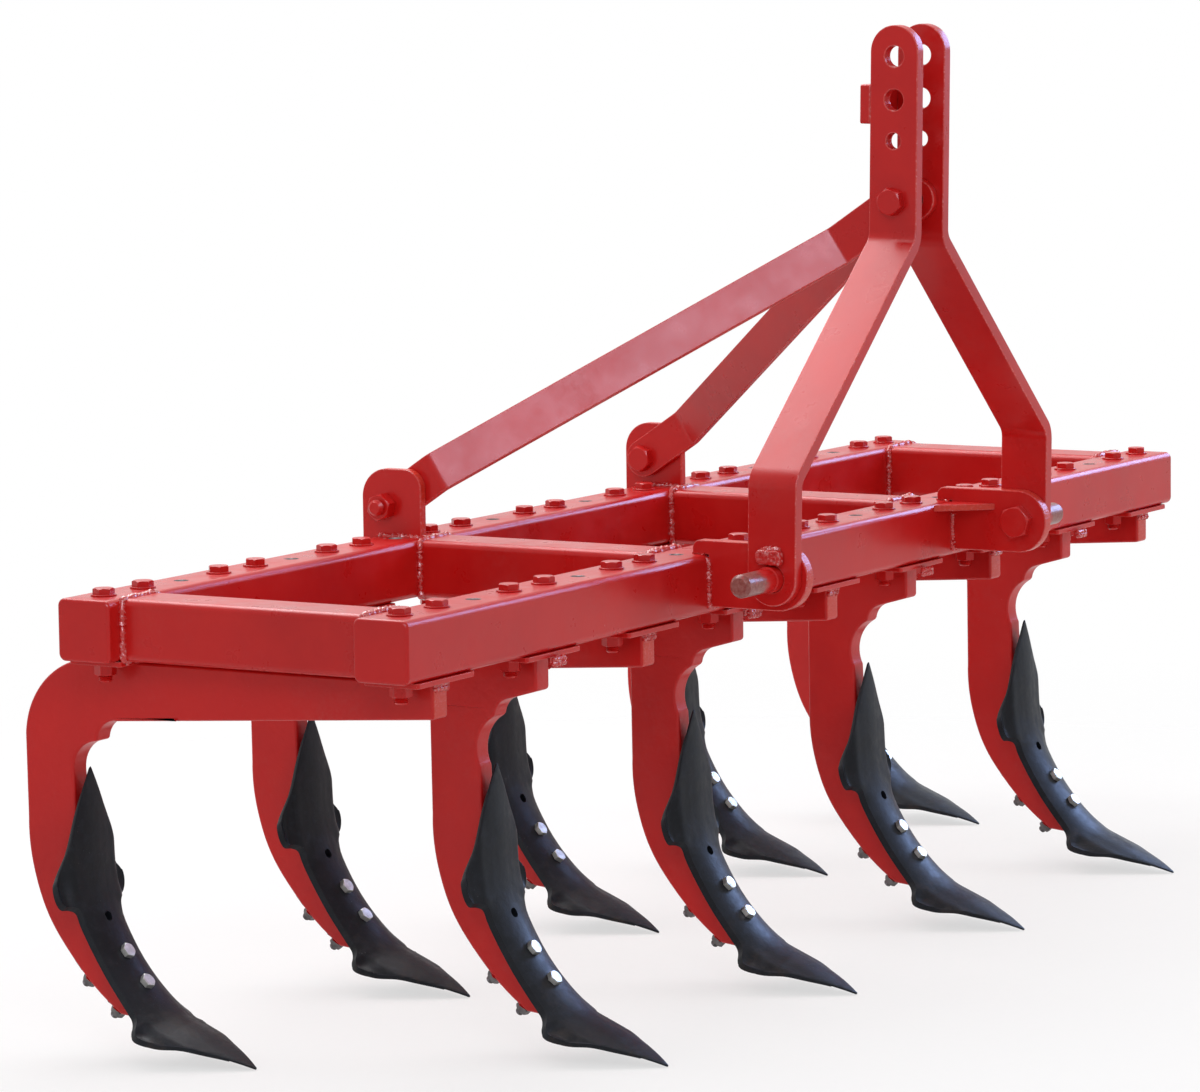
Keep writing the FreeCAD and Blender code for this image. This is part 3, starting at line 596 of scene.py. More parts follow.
def enamel():
    return material("red_enamel", paint, colours().enamel)


def cast_enamel():
    return material("red_enamel_on_forging", paint, colours().enamel, lumps=0.30, gloss=0.36)


# Enamel of the welds and the pin stops, with strong painted highlights in its colour that stand in
# for light off the ripples.
def weld_enamel_painted_glints():
    return material("red_enamel_on_weld", paint, colours().enamel, lumps=0.9, gloss=0.16,
                    bright=1.0, shine=0.55)


# Paler enamel of the rounded edges: paint worn thin there, and a painted highlight where the
# rounded edges catch the light.
def edge_wear_and_highlight_enamel():
    return material("red_enamel_on_edges", paint, shifted(colours().enamel, 1.15, 6, 6),
                    gloss=0.24, bright=0.55)


# Orange enamel of the flame-cut faces, with faint painted highlights in its colour.
def cut_enamel():
    return material("red_enamel_on_cut_faces", paint, shifted(colours().enamel, 1.1, 4, 2.4),
                    gloss=0.34, bright=0.18, drag=0.8)


def bare_steel():
    return material("bare_hole_steel", plated, (0.42, 0.38, 0.37), metallic=0.6, gloss=0.45)


# ---------------------------------------------------------------- pieces


class CULTIVATOR_OT_stage(bpy.types.Operator):
    """Floor, soft lamps, world and camera"""

    bl_idname = "cultivator.stage"
    bl_label = "Stage"
    bl_options = {"REGISTER", "UNDO"}

    # The camera: the point it looks at, its bearing, height and roll in degrees, its distance
    # from that point, and its lens.
    AIM = (-0.34307, -0.0776, 0.5426)
    BEARING, HEIGHT, ROLL = -59.258, 6.796, -0.742
    DISTANCE = 6.4088
    SENSOR, LENS = 36.0, 159.516
    SHIFT = (-0.00379, 0.00183)

    # The point that the lamps shine at, and each one's place, width, depth, power and colour.
    LIT_POINT = (0, 0, 0.55)
    SOFTBOXES = (
        ("overhead_softbox", (0.4, 1.3, 3.6), 4.2, 3.2, 110, (1.0, 0.98, 1.0)),
        ("front_softbox", (-3.6, -1.8, 2.7), 2.2, 1.4, 26, (0.98, 0.98, 1.0)))
    FILL = ("side_softbox", (2.6, -3.6, 1.7), 1.6, 1.4, 27, (1.0, 1.0, 1.0))
    CARDS = (
        ("high_card", (0.5, 1.7, 3.4), 3.0, 1.6, 90, (0.95, 0.97, 1.0)),
        ("brace_card", (-3.8, -1.5, 2.8), 2.0, 1.5, 110, (0.86, 0.80, 1.0)),
        ("crown_card", (3.6, -1.3, 2.1), 2.4, 1.6, 150, (0.34, 0.52, 1.0)))

    def execute(self, context):
        self.floor()
        self.world()
        self.lamps()
        self.camera()
        return {"FINISHED"}

    def floor(self):
        bpy.ops.object.select_all(action="DESELECT")
        bpy.ops.mesh.primitive_grid_add(x_subdivisions=4, y_subdivisions=4, size=24,
                                        location=(0, 0, -0.4 * MM))
        plane = bake_place(name_it("floor"))
        ground, tree, shader = new_material("pale_floor")
        where = object_place(tree)
        speck = noise(tree, where, 60.0, 4.0)
        base = blend(tree, speck, (0.90, 0.90, 0.90, 1), (0.94, 0.94, 0.94, 1))
        set_inputs(tree, shader, {"Base Color": base, "Roughness": 0.9,
                                  "Specular IOR Level": 0.1})
        distance = add(tree, "ShaderNodeVectorMath", {0: where}, operation="LENGTH")
        fade = spread(tree, distance.outputs["Value"], 1.1, 2.6)
        clear = add(tree, "ShaderNodeBsdfTransparent")
        white = add(tree, "ShaderNodeEmission", {"Color": WHITE, "Strength": 1.0})
        pale = add(tree, "ShaderNodeMixShader", {0: times(tree, looked_at(tree), 0.62),
                                                 1: shader.outputs[0], 2: white.outputs[0]})
        mix = add(tree, "ShaderNodeMixShader", {0: fade, 1: pale.outputs[0],
                                                2: clear.outputs[0]})
        tree.links.new(mix.outputs[0], tree.nodes["Material Output"].inputs["Surface"])
        plane.data.materials.append(ground)

    def world(self):
        world = bpy.data.worlds.new("studio")
        bpy.context.scene.world = world
        world.use_nodes = True
        tree = world.node_tree
        tree.nodes.clear()
        strength = spread(tree, looked_at(tree), 0.0, 1.0, 0.50, 1.0)
        sky = add(tree, "ShaderNodeBackground", {"Color": WHITE, "Strength": strength})
        out = add(tree, "ShaderNodeOutputWorld")
        tree.links.new(sky.outputs[0], out.inputs["Surface"])

    def lamps(self):
        for lamp in self.SOFTBOXES:
            self.softbox(*lamp)
        # The fill lamp lights the front without showing in the enamel.
        self.softbox(*self.FILL).visible_glossy = False
        # Cards are only seen mirrored, in the enamel and on the shovels.
        for card in self.CARDS:
            self.softbox(*card).visible_diffuse = False

    def softbox(self, name, spot, width, deep, watts, tone):
        bpy.ops.object.light_add(type="AREA", location=spot)
        lamp = name_it(name)
        way = Vector(self.LIT_POINT) - Vector(spot)
        lamp.rotation_euler = way.to_track_quat("-Z", "Y").to_euler()
        lamp.data.shape = "RECTANGLE"
        lamp.data.size = width
        lamp.data.size_y = deep
        lamp.data.energy = watts
        lamp.data.color = tone
        return lamp

    def camera(self):
        bearing, height, roll = (math.radians(angle)
                                 for angle in (self.BEARING, self.HEIGHT, self.ROLL))
        back = Vector((math.sin(bearing) * math.cos(height),
                       -math.cos(bearing) * math.cos(height), math.sin(height)))
        bpy.ops.object.camera_add(location=Vector(self.AIM) + back * self.DISTANCE)
        camera = name_it("camera")
        across = (-back).cross(Vector((0, 0, 1))).normalized()
        up = across.cross(-back)
        right = across * math.cos(roll) + up * math.sin(roll)
        top = up * math.cos(roll) - across * math.sin(roll)
        turn = Matrix((right, top, back)).transposed()
        camera.rotation_mode = "QUATERNION"
        camera.rotation_quaternion = turn.to_quaternion()
        camera.data.sensor_width = self.SENSOR
        camera.data.lens = self.LENS
        camera.data.shift_x, camera.data.shift_y = self.SHIFT
        camera.data.clip_start, camera.data.clip_end = 0.1, 60.0
        bpy.context.scene.camera = camera
        bpy.context.scene.view_settings.view_transform = "Standard"


class CULTIVATOR_OT_beams(bpy.types.Operator):
    """Long beams with rounded closed ends and hole rims, and the four cross members"""

    bl_idname = "cultivator.beams"
    bl_label = "Beams and cross members"
    bl_options = {"REGISTER", "UNDO"}

    # Upright faces this near a hole's axis are the hole's wall, outside the ends' zones.
    HOLE_WALL = 8.9 * MM
    END_ZONE = 20 * MM
    ON_FACE = 1e-5

    def execute(self, context):
        for node in ("front_beam", "rear_beam"):
            self.beam(node)
        for node in nodes_with("cross_member"):
            obj = smooth(copy_of(node, node + "_tube"))
            finish_piece(obj, RED_SLOT, enamel(), node)
        return {"FINISHED"}

    def beam(self, node):
        low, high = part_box(node)
        end, mid_y = high.x, (low.y + high.y) / 2
        obj = copy_of(node, node + "_tube")

        def at_end(a, b):
            return all(abs(abs(p.x) - end) < self.ON_FACE for p in (a, b))

        def at_hole(a, b):
            flat = all(min(abs(p.z - low.z), abs(p.z - high.z)) < self.ON_FACE for p in (a, b))
            return flat and abs(a.x) < end - self.END_ZONE / 2

        def in_hole(spot, normal):
            along = spot.x / HOLE_PITCH + (HOLE_COUNT - 1) / 2
            aside = (along - round(along)) * HOLE_PITCH
            near = math.hypot(aside, spot.y - mid_y) < self.HOLE_WALL
            return near and abs(normal.z) < 0.5 and abs(spot.x) < end - self.END_ZONE

        round_edges(obj, sizes().cap_round, 4, where=at_end)
        # The hole rims take the paler edge enamel: worn paint and a painted highlight.
        round_edges(obj, sizes().tube_round, 2, where=at_hole, worn=1)
        smooth(obj)
        repaint(obj, 2, in_hole)
        finish_piece(obj, RED_SLOT, (enamel(), edge_wear_and_highlight_enamel(), bare_steel()), node)


class CULTIVATOR_OT_tines(bpy.types.Operator):
    """Forged tines with rounded edges"""

    bl_idname = "cultivator.tines"
    bl_label = "Tines"
    bl_options = {"REGISTER", "UNDO"}

    # The arm's front end is flame-cut. The leg's front, from this far behind that end and this
    # far below the shovel's top, is given the shovels' black forging: darker behind the shovel.
    END_DEPTH = 0.5 * MM
    SEAT_BACK, SEAT_DROP = 50 * MM, 85 * MM

    def execute(self, context):
        seat_finish = material("dark_scale", forging, colours().black)
        for number in TINES:
            node = "tine_%d" % number
            obj = copy_of(node, node + "_forging")
            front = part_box(node)[0].y
            seat_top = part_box("shovel_%d" % number)[1].z - self.SEAT_DROP

            def on_end(spot, normal):
                return spot.y < front + self.END_DEPTH and normal.y < -0.9

            def on_seat(spot, normal):
                faces_front = abs(normal.x) < 0.1 and normal.y < -0.3
                return faces_front and spot.z < seat_top and spot.y > front + self.SEAT_BACK

            round_edges(obj, sizes().forging_round, 3, sharper_than=50)
            smooth(obj, 40)
            repaint(obj, 1, on_end)
            repaint(obj, 2, on_seat)
            finish_piece(obj, RED_SLOT, (cast_enamel(), cut_enamel(), seat_finish), node)
        return {"FINISHED"}


def eased(share):
    """A share from 0 to 1 with a soft start and a soft end."""
    share = min(max(share, 0.0), 1.0)
    return share * share * (3 - 2 * share)


class CULTIVATOR_OT_shovels(bpy.types.Operator):
    """Reversible shovels, forged and blackened"""

    bl_idname = "cultivator.shovels"
    bl_label = "Shovels"
    bl_options = {"REGISTER", "UNDO"}

    EDGE_ROUND = 1.1 * MM
    BLADE_THICK = 8.7 * MM

    # The middle of a blade, between these heights, is a shallow arch. Its sides are drawn in
    # beyond a flat crown, and it falls away by its depth times the square of the half width,
    # a little less where the middle fades into the points.
    MIDDLE = (35 * MM, 205 * MM)
    CROWN_HALF = 8 * MM
    DRAWN_IN = 0.185
    ARCH, FADING_ARCH = 6.3, 4.7
    FULL_PULL = 0.3

    # The upper wings' corners move down along the blade and forward, fading out towards the
    # ends of this zone and towards the crown.
    WINGS = (150 * MM, 330 * MM)
    WING_FADE_LOW, WING_FADE_HIGH = 40 * MM, 100 * MM
    WING_FROM, WING_FADE = 14 * MM, 30 * MM
    WING_DOWN, WING_FORWARD = 11 * MM, 3.8 * MM

    # Middle line of a blade's face, behind its box's foremost edge and above the floor, with
    # the share of the middle's cross-section that holds there.
    RIDGE = ((0.2230, 0.3380, 0.00), (0.2220, 0.3000, 0.00), (0.2190, 0.2550, 0.00),
             (0.2170, 0.2150, 0.00), (0.2125, 0.1880, 0.00), (0.1995, 0.1550, 0.60),
             (0.1725, 0.1115, 1.00), (0.1405, 0.0755, 0.85), (0.1110, 0.0520, 0.10),
             (0.0760, 0.0365, 0.00), (0.0430, 0.0220, 0.00), (0.0000, 0.0025, 0.00))
    STEPS = 32

    def ridge_line(self):
        """The middle line drawn finely, as a smooth curve through its points."""
        line = []
        for i in range(len(self.RIDGE) - 1):
            a, b, c, d = [Vector(self.RIDGE[min(max(i + k, 0), len(self.RIDGE) - 1)])
                          for k in (-1, 0, 1, 2)]
            for step in range(self.STEPS):
                t = step / self.STEPS
                line.append(0.5 * (2 * b + (c - a) * t + (2 * a - 5 * b + 4 * c - d) * t * t
                                   + (3 * b - a - 3 * c + d) * t * t * t))
        line.append(Vector(self.RIDGE[-1]))
        return line

    def slim(self, obj, node):
        """Gives a blade's middle its shallow arch and its upper wings their lower corners."""
        low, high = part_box(node)
        centre = (low.x + high.x) / 2
        line = self.ridge_line()
        wing_low, wing_high = self.WINGS
        lookup = KDTree(len(line))
        for i, point in enumerate(line):
            lookup.insert((0.0, point[0], point[1]), i)
        lookup.balance()
        mesh = bmesh.new()
        mesh.from_mesh(obj.data)
        mesh.normal_update()
        places = []
        for vertex in mesh.verts:
            spot = vertex.co
            half = abs(spot.x - centre)
            back, up = spot.y - low.y, spot.z
            i = lookup.find((0.0, back, up))[1]
            before, after = line[max(i - 1, 0)], line[min(i + 1, len(line) - 1)]
            along = Vector((after[0] - before[0], after[1] - before[1]))
            span = along.length
            along /= span
            behind = Vector((-along.y, along.x))
            offset = Vector((back - line[i][0], up - line[i][1]))
            gap = offset.dot(behind)
            here = line[i] + (after - before) * (offset.dot(along) / span)
            share = min(max(here[2], 0.0), 1.0)
            move = Vector((0.0, 0.0))
            slim = half
            if share > 0.001:
                facing = [face.normal.y * behind.x + face.normal.z * behind.y
                          for face in vertex.link_faces]
                slim = half - self.DRAWN_IN * share * max(0.0, half - self.CROWN_HALF)
                depth = self.FADING_ARCH * (1 - share) + self.ARCH * share
                wanted = depth * slim * slim
                if max(facing, key=abs) > 0:
                    wanted += self.BLADE_THICK
                move += behind * ((wanted - gap) * eased(share / self.FULL_PULL))
            if wing_low < up < wing_high:
                rise = eased(min((up - wing_low) / self.WING_FADE_LOW,
                                 (wing_high - up) / self.WING_FADE_HIGH))
                wide = min(max((half - self.WING_FROM) / self.WING_FADE, 0.0), 1.0)
                move += (along * self.WING_DOWN - behind * self.WING_FORWARD) * (rise * wide)
            side = 1 if spot.x > centre else -1
            places.append((centre + side * slim, spot.y + move.x, spot.z + move.y))
        mesh.free()
        for vertex, place in zip(obj.data.vertices, places):
            vertex.co = place
        obj.data.update()

    def execute(self, context):
        black = material("black_forging_steel", forging, colours().black)
        middle_low, middle_high = self.MIDDLE
        for number in TINES:
            node = "shovel_%d" % number
            obj = copy_of(node, node + "_blade", whole_faces=False)
            self.slim(obj, node)
            round_edges(obj, self.EDGE_ROUND, 2, sharper_than=40,
                        where=lambda a, b: not middle_low < (a.z + b.z) / 2 < middle_high)
            smooth(obj, 40)
            finish_piece(obj, BLACK_SLOT, black, node)
        return {"FINISHED"}


class CULTIVATOR_OT_plates(bpy.types.Operator):
    """Mast, tie plate, braces, lugs, hitch brackets, gussets, stops and clamp plates"""

    bl_idname = "cultivator.plates"
    bl_label = "Mast, hitch and clamp plates"
    bl_options = {"REGISTER", "UNDO"}

    STOP_LUMPS = 3.5 * MM

    def execute(self, context):
        for node in nodes_with("mast_plate", "mast_tie", "brace", "hitch_bracket",
                               "hitch_gusset", "pin_stop", "clamp_plates"):
            self.plate(node)
        return {"FINISHED"}

    def plate(self, node):
        stop, gusset = "stop" in node, "gusset" in node
        rounding = 1.6 if stop else 0.5 if gusset or "clamp" in node else 1.0
        obj = copy_of(node, node + "_plate")
        # The rounded edges take the paler edge enamel: worn paint and a painted highlight.
        round_edges(obj, sizes().plate_round * rounding, 2, sharper_than=45, worn=1)
        smooth(obj, 40)
        if stop:
            lumpy(obj, self.STOP_LUMPS)
        if gusset or "bracket" in node or "lug" in node:
            # The faces all round a plate are cut. It is thin along X, and a gusset along Z.
            thin = 2 if gusset else 0
            repaint(obj, 2, lambda spot, normal: abs(normal[thin]) < 0.02)
        face = weld_enamel_painted_glints() if stop else enamel()
        finish_piece(obj, RED_SLOT, (face, edge_wear_and_highlight_enamel(), cut_enamel()), node)


def thread(rings, radius, root, start, stop, pitch, rise):
    """Adds a thread to rings (radius, height), as a row of ridges, and returns where it ends."""
    height = start
    while height < stop:
        rings += [(radius, height), (root, height + rise)]
        height += pitch
    return height


def bolt_with_nut(name, flats, head, nut, shank, grip, stick_out, washer=None):
    """A bolt standing along +Z with its head's underside at z = 0 and its nut under the grip."""
    parts = []
    top = 0.0
    if washer:
        radius, thick = washer
        parts.append(turned("washer", [(radius - 0.5 * MM, 0), (radius, 0.5 * MM),
                                       (radius, thick - 0.6 * MM),
                                       (radius - 0.6 * MM, thick)], 36))
        top = thick
    cap = hexagon("head", flats, head)
    cap.location = (0, 0, top)
    parts.append(bake_place(cap))
    foot = hexagon("nut", flats, nut, ("top", "foot"))
    foot.location = (0, 0, -grip - nut)
    parts.append(bake_place(foot))
    nut_end = -grip - nut
    tip = nut_end - stick_out
    rings = [(shank * 0.72, tip), (shank * 0.86, tip + 1.2 * MM)]
    thread(rings, shank, shank * 0.87, tip + 2.2 * MM, nut_end, 2.0 * MM, 1.0 * MM)
    rings += [(shank * 0.9, nut_end + 2.0 * MM), (shank * 0.9, top + 1.0 * MM)]
    parts.append(turned("shank", rings, 18))
    return merged(name, parts)


class CULTIVATOR_OT_clamp_bolts(bpy.types.Operator):
    """Hex bolts, washers and nuts of the tine clamps"""

    bl_idname = "cultivator.clamp_bolts"
    bl_label = "Clamp bolts"
    bl_options = {"REGISTER", "UNDO"}

    SEED = 11
    NUT = 13 * MM
    SHANK_RADIUS = 8 * MM
    WASHER = (15 * MM, 2 * MM)

    def execute(self, context):
        draws = random.Random(self.SEED)
        for row in ("front", "rear"):
            node = row + "_clamp_bolts"
            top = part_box(row + "_beam")[1].z
            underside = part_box(row + "_clamp_plates")[0].z
            spots = solids_of(node)
            tip = spots[0][0].z
            bolt = bolt_with_nut("bolt", sizes().bolt_flats, sizes().bolt_head, self.NUT,
                                 self.SHANK_RADIUS, top - underside,
                                 underside - self.NUT - tip, self.WASHER)
            places = []
            for a, b in spots:
                spot = ((a.x + b.x) / 2, (a.y + b.y) / 2, top)
                turn = math.radians(30) + draws.uniform(-0.5, 0.5)
                places.append(Matrix.Translation(spot) @ Matrix.Rotation(turn, 4, "Z"))
            obj = stamp(bolt, places, node + "_hex")
            smooth(obj, 30)
            finish_piece(obj, RED_SLOT, enamel(), node)
        return {"FINISHED"}


class CULTIVATOR_OT_shovel_bolts(bpy.types.Operator):
    """Zinc-plated bolts and nuts of the shovels"""

    bl_idname = "cultivator.shovel_bolts"
    bl_label = "Shovel bolts"
    bl_options = {"REGISTER", "UNDO"}

    SEED = 5
    HEAD, NUT = 6.5 * MM, 8 * MM
    NUT_FROM_TIP = 6 * MM
    # A solid whose middle lies above this height is an upper bolt.
    UPPER_FROM = 75 * MM
    NUT_TONE = (0.16, 0.15, 0.15)

    def execute(self, context):
        zinc = material("zinc_plating", plated, colours().zinc)
        dull = material("dull_nut_steel", plated, self.NUT_TONE, metallic=0.7, gloss=0.5)
        draws = random.Random(self.SEED)
        flats = sizes().shovel_flats
        heads, nuts = [], []
        for seats, inward, reach in self.rows():
            places = [pointing(seat, -inward, draws.uniform(-0.5, 0.5)) for seat in seats]
            heads.append(stamp(hexagon("head", flats, self.HEAD), places, "heads"))
            foot = hexagon("nut", flats, self.NUT, ("top", "foot"))
            foot.location = (0, 0, -reach + self.NUT_FROM_TIP)
            bake_place(foot)
            rings = [(4.0 * MM, -reach), (4.6 * MM, -reach + 0.8 * MM)]
            height = thread(rings, 5.0 * MM, 4.4 * MM, -reach + 1.4 * MM,
                            -reach + self.NUT_FROM_TIP + 0.5 * MM, 1.5 * MM, 0.8 * MM)
            rings += [(4.7 * MM, height), (4.7 * MM, -1.0 * MM)]
            threaded = turned("shank", rings, 16)
            nuts.append(stamp(merged("nut", [foot, threaded]), places, "nuts"))
        obj = smooth(merged("shovel_bolt_heads", heads), 30)
        finish_piece(obj, ZINC_SLOT, zinc, "shovel_bolts")
        obj = smooth(merged("shovel_bolt_nuts", nuts), 30)
        finish_piece(obj, ZINC_SLOT, dull, "shovel_bolts")
        return {"FINISHED"}

    def rows(self):
        """The upper and the lower bolts: their seats, direction into the tine, and reach."""
        inward = [Vector((0, *axis)).normalized() for axis in BOLT_AXES]
        seats, reach = ([], []), [0.0, 0.0]
        for points in corners_of("shovel_bolts"):
            row = 0 if sum(p.z for p in points) / len(points) > self.UPPER_FROM else 1
            seat = outer_face(points, -inward[row]) + inward[row] * self.HEAD
            if not seats[row]:
                reach[row] = (outer_face(points, inward[row]) - seat).length
            seats[row].append(seat)
        return zip(seats, inward, reach)


class CULTIVATOR_OT_mast_bolts(bpy.types.Operator):
    """Bolts of the mast and of the brace lugs"""

    bl_idname = "cultivator.mast_bolts"
    bl_label = "Mast and lug bolts"
    bl_options = {"REGISTER", "UNDO"}

    FLATS, HEAD, NUT = 30 * MM, 12.5 * MM, 16 * MM
    SHANK_RADIUS = 10 * MM
    LUG_GRIP = 24 * MM

    def execute(self, context):
        mast_grip = MAST_GAP + 2 * MAST_THICK
        # The direction along X in which each bolt's head faces.
        for node, way, grip in (("mast_bolt", -1, mast_grip), ("lug_bolt_right", 1, self.LUG_GRIP),
                                ("lug_bolt_left", -1, self.LUG_GRIP)):
            low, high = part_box(node)
            mid = (low + high) / 2
            seat = high.x - self.HEAD if way > 0 else low.x + self.HEAD
            stick_out = high.x - low.x - self.HEAD - grip - self.NUT
            bolt = bolt_with_nut(node + "_hex", self.FLATS, self.HEAD, self.NUT,
                                 self.SHANK_RADIUS, grip, stick_out)
            place = pointing((seat, mid.y, mid.z), (way, 0, 0), 0.2)
            obj = stamp(bolt, [place], node + "_hex")
            smooth(obj, 30)
            finish_piece(obj, RED_SLOT, enamel(), node)
        return {"FINISHED"}


class CULTIVATOR_OT_hitch_pins(bpy.types.Operator):
    """Lower hitch pins with hex head, collar and worn shank"""

    bl_idname = "cultivator.hitch_pins"
    bl_label = "Hitch pins"
    bl_options = {"REGISTER", "UNDO"}

    FLATS, HEAD = 38 * MM, 12 * MM
    # Distances from the machine's middle between which the paint is worn off.
    WORN = (362 * MM, 392 * MM)

    def execute(self, context):
        worn = material("worn_pin_enamel", worn_pin, colours().enamel, *self.WORN)
        for hand, side in (("right", -1), ("left", 1)):
            node = "hitch_pin_" + hand
            low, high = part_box(node)
            mid = (low + high) / 2
            inner, outer = sorted((abs(low.x), abs(high.x)))
            tip = outer - inner
            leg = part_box("mast_plate_" + hand)
            face = max(abs(leg[0].x), abs(leg[1].x)) - inner
            head = hexagon("head", self.FLATS, self.HEAD)
            # Turned over, so that its chamfer faces the machine's middle.
            head.matrix_world = Matrix.Rotation(math.pi, 4, "X")
            head.location = (0, 0, self.HEAD)
            bake_place(head)
            collar = [(16.0 * MM, 6.0 * MM), (16.0 * MM, face + 10.5 * MM),
                      (15.5 * MM, face + 11.6 * MM), (14.2 * MM, face + 12.0 * MM)]
            shank = [(14.0 * MM, face + 12.5 * MM), (14.0 * MM, tip - 4.5 * MM),
                     (13.6 * MM, tip - 3.4 * MM), (10.5 * MM, tip - 0.3 * MM), (10.0 * MM, tip)]
            obj = merged("pin", [head, turned("shank", collar + shank, 40)])
            place = pointing((side * inner, mid.y, mid.z), (side, 0, 0), 0.26)
            obj = stamp(obj, [place], node + "_turned")
            smooth(obj, 30)
            finish_piece(obj, RED_SLOT, worn, node)
        return {"FINISHED"}


# ---------------------------------------------------------------- welds


def bead(path, radius, draws, closed=False):
    """A weld bead along straight runs between points, with the ripples of its passes."""
    step = radius / 2
    spots = []
    runs = list(zip(path[:-1], path[1:])) + ([(path[-1], path[0])] if closed else [])
    for a, b in runs:
        a, b = Vector(a), Vector(b)
        count = max(2, int((b - a).length / step))
        spots += [a.lerp(b, i / count) for i in range(count)]
    if not closed:
        spots.append(Vector(path[-1]))
    bpy.ops.object.select_all(action="DESELECT")
    bpy.ops.curve.primitive_bezier_curve_add(location=(0, 0, 0))
    obj = name_it("bead")
    curve = obj.data
    curve.splines.clear()
    spline = curve.splines.new("POLY")
    spline.points.add(len(spots) - 1)
    for i, (point, spot) in enumerate(zip(spline.points, spots)):
        draws.random()  # One draw a point is passed over, which the beads' look rests on.
        swell = 1.0 + (0.12 if i % 3 == 0 else -0.08) + draws.uniform(-0.2, 0.28)
        if not closed and i in (0, len(spots) - 1):
            swell *= 0.45
        jitter = Vector([draws.uniform(-1, 1) for _ in range(3)])
        point.co = (*(spot + jitter * radius * 0.10), 1)
        point.radius = swell
    spline.use_cyclic_u = closed
    curve.dimensions = "3D"
    curve.bevel_depth = radius
    curve.bevel_resolution = 2
    curve.use_fill_caps = not closed
    pick(obj)
    bpy.ops.object.convert(target="MESH")
    obj = name_it("bead")
    if not closed:
        bpy.ops.object.mode_set(mode="EDIT")
        bpy.ops.mesh.select_all(action="SELECT")
        bpy.ops.mesh.remove_doubles(threshold=0.02 * MM)
        bpy.ops.mesh.normals_make_consistent(inside=False)
        bpy.ops.object.mode_set(mode="OBJECT")
    return obj


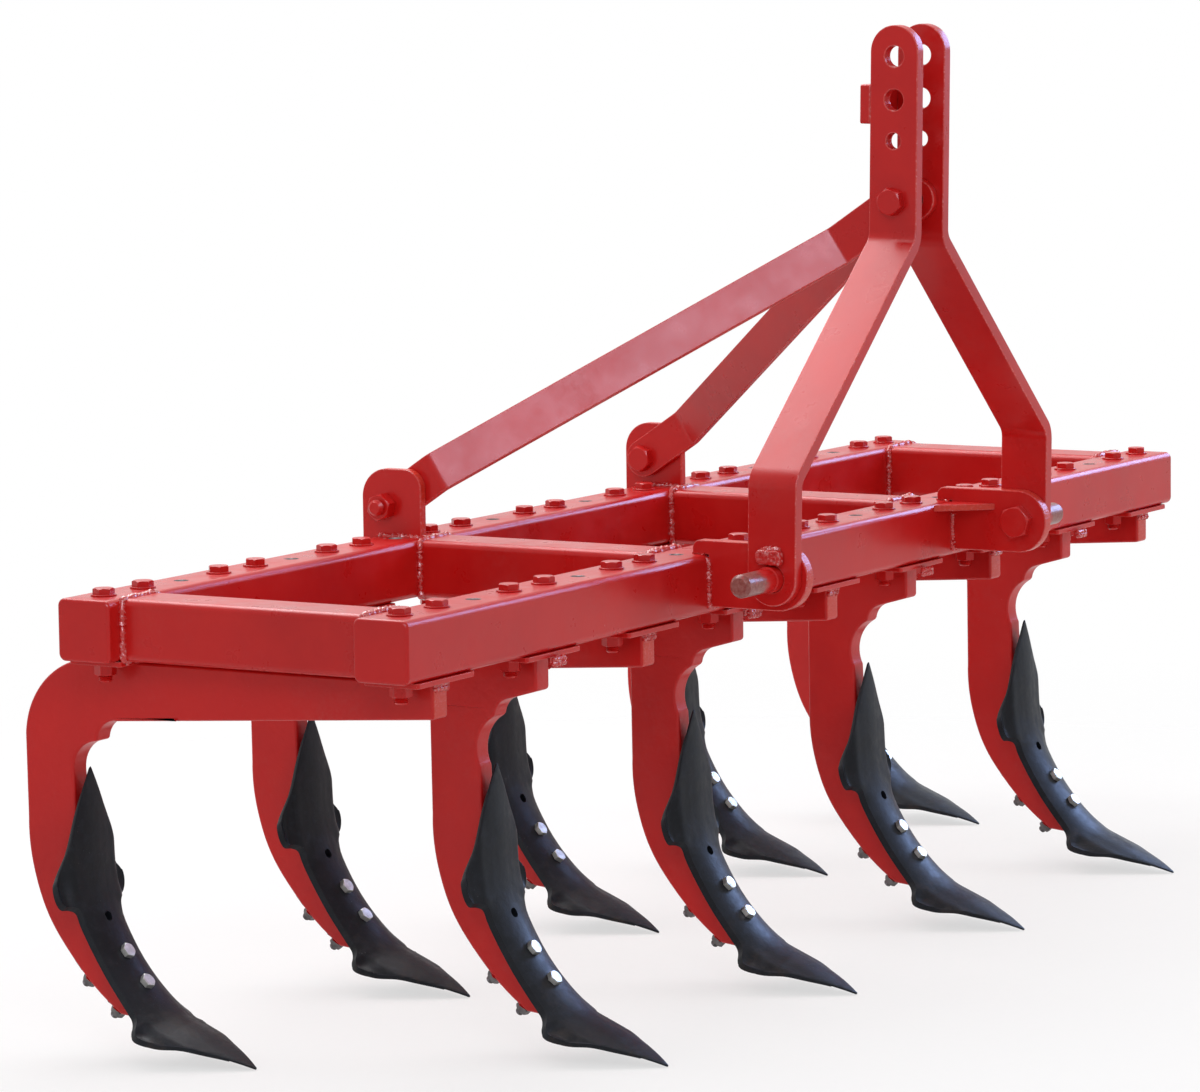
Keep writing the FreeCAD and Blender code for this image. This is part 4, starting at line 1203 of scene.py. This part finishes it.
class CULTIVATOR_OT_welds(bpy.types.Operator):
    """Weld beads of the frame, the lugs and the hitch"""

    bl_idname = "cultivator.welds"
    bl_label = "Weld beads"
    bl_options = {"REGISTER", "UNDO"}

    CORNER = 8 * MM
    ARM_BEAD = 3.4 * MM
    # The lug's foot is flat up to this far before its rear edge.
    LUG_BACK = 23 * MM

    def execute(self, context):
        draws = random.Random(sizes().weld_seed)
        for name, beads in (("frame_welds", self.frame_beads(draws)),
                            ("arm_welds", self.arm_beads(draws)),
                            ("hitch_welds", self.hitch_beads(draws))):
            obj = merged(name, beads)
            smooth(obj, 50)
            finish_piece(obj, RED_SLOT, weld_enamel_painted_glints())
        return {"FINISHED"}

    def frame_beads(self, draws):
        """All round both ends of each cross member."""
        radius = sizes().bead
        corner, cut = self.CORNER, self.CORNER * 0.3
        beads = []
        for node in nodes_with("cross_member"):
            low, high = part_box(node)
            x0, x1, z0, z1 = low.x, high.x, low.z, high.z
            for y in (low.y + 1.2 * MM, high.y - 1.2 * MM):
                loop = [(x0, y, z0 + corner), (x0, y, z1 - corner), (x0 + cut, y, z1 - cut),
                        (x0 + corner, y, z1 - MM), (x1 - corner, y, z1 - MM),
                        (x1 - cut, y, z1 - cut), (x1, y, z1 - corner), (x1, y, z0 + corner),
                        (x1 - cut, y, z0 + cut), (x1 - corner, y, z0 + MM),
                        (x0 + corner, y, z0 + MM), (x0 + cut, y, z0 + cut)]
                beads.append(bead(loop, radius, draws, True))
        return beads

    def arm_beads(self, draws):
        """Two passes where the front end of each arm is welded to the plate above it."""
        beads = []
        for number in TINES:
            low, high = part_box("tine_%d" % number)
            for drop in (2.0 * MM, 6.5 * MM):
                beads.append(bead([(low.x + MM, low.y, high.z - drop),
                                   (high.x - MM, low.y, high.z - drop)], self.ARM_BEAD, draws))
        return beads

    def hitch_beads(self, draws):
        """Along the lugs' feet, round the hitch brackets and on top of the pins' stops."""
        radius = sizes().bead * 0.9
        beam_low, beam_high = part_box("front_beam")
        rear_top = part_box("rear_beam")[1].z
        beads = []
        for hand, side in (("right", -1), ("left", 1)):
            low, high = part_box("brace_lug_" + hand)
            for x in (low.x, high.x):
                beads.append(bead([(x, low.y + 2 * MM, rear_top),
                                   (x, high.y - self.LUG_BACK, rear_top)], radius, draws))
            low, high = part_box("hitch_bracket_" + hand)
            for x in (low.x, high.x):
                beads.append(bead([(x, beam_low.y, beam_low.z + 6 * MM),
                                   (x, beam_low.y, beam_high.z - 10 * MM),
                                   (x, beam_low.y + 10 * MM, beam_high.z + 0.5 * MM)],
                                  radius, draws))
            beads.append(bead([(low.x + 2 * MM, high.y, beam_high.z),
                               (high.x - 2 * MM, high.y, beam_high.z)], radius, draws))
            low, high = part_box("pin_stop_" + hand)
            face = low.x if side > 0 else high.x
            beads.append(bead([(face, low.y + 4 * MM, high.z),
                               (face, high.y - 4 * MM, high.z)], radius, draws))
        return beads


# ---------------------------------------------------------------- panel and registration

PIECES = ("stage", "beams", "tines", "shovels", "plates", "clamp_bolts", "shovel_bolts",
          "mast_bolts", "hitch_pins", "welds")


class CULTIVATOR_PT_panel(bpy.types.Panel):
    """Lists the pieces in the order in which they are built"""

    bl_idname = "CULTIVATOR_PT_panel"
    bl_label = "Field cultivator"
    bl_space_type = "VIEW_3D"
    bl_region_type = "UI"
    bl_category = "Cultivator"

    def draw(self, context):
        column = self.layout.column()
        for group in (context.scene.cultivator_colours, context.scene.cultivator_sizes):
            for key in group.bl_rna.properties.keys():
                if key not in ("rna_type", "name"):
                    column.prop(group, key)
        for piece in PIECES:
            column.operator("cultivator." + piece)


CLASSES = (CultivatorColours, CultivatorSizes, CULTIVATOR_OT_stage, CULTIVATOR_OT_beams,
           CULTIVATOR_OT_tines, CULTIVATOR_OT_shovels, CULTIVATOR_OT_plates,
           CULTIVATOR_OT_clamp_bolts, CULTIVATOR_OT_shovel_bolts, CULTIVATOR_OT_mast_bolts,
           CULTIVATOR_OT_hitch_pins, CULTIVATOR_OT_welds, CULTIVATOR_PT_panel)


def register():
    for cls in CLASSES:
        bpy.utils.register_class(cls)
    bpy.types.Scene.cultivator_colours = PointerProperty(type=CultivatorColours)
    bpy.types.Scene.cultivator_sizes = PointerProperty(type=CultivatorSizes)


def unregister():
    del bpy.types.Scene.cultivator_sizes
    del bpy.types.Scene.cultivator_colours
    for cls in reversed(CLASSES):
        bpy.utils.unregister_class(cls)


def main():
    register()
    for piece in PIECES:
        getattr(bpy.ops.cultivator, piece)()


if __name__ == "__main__":
    main()
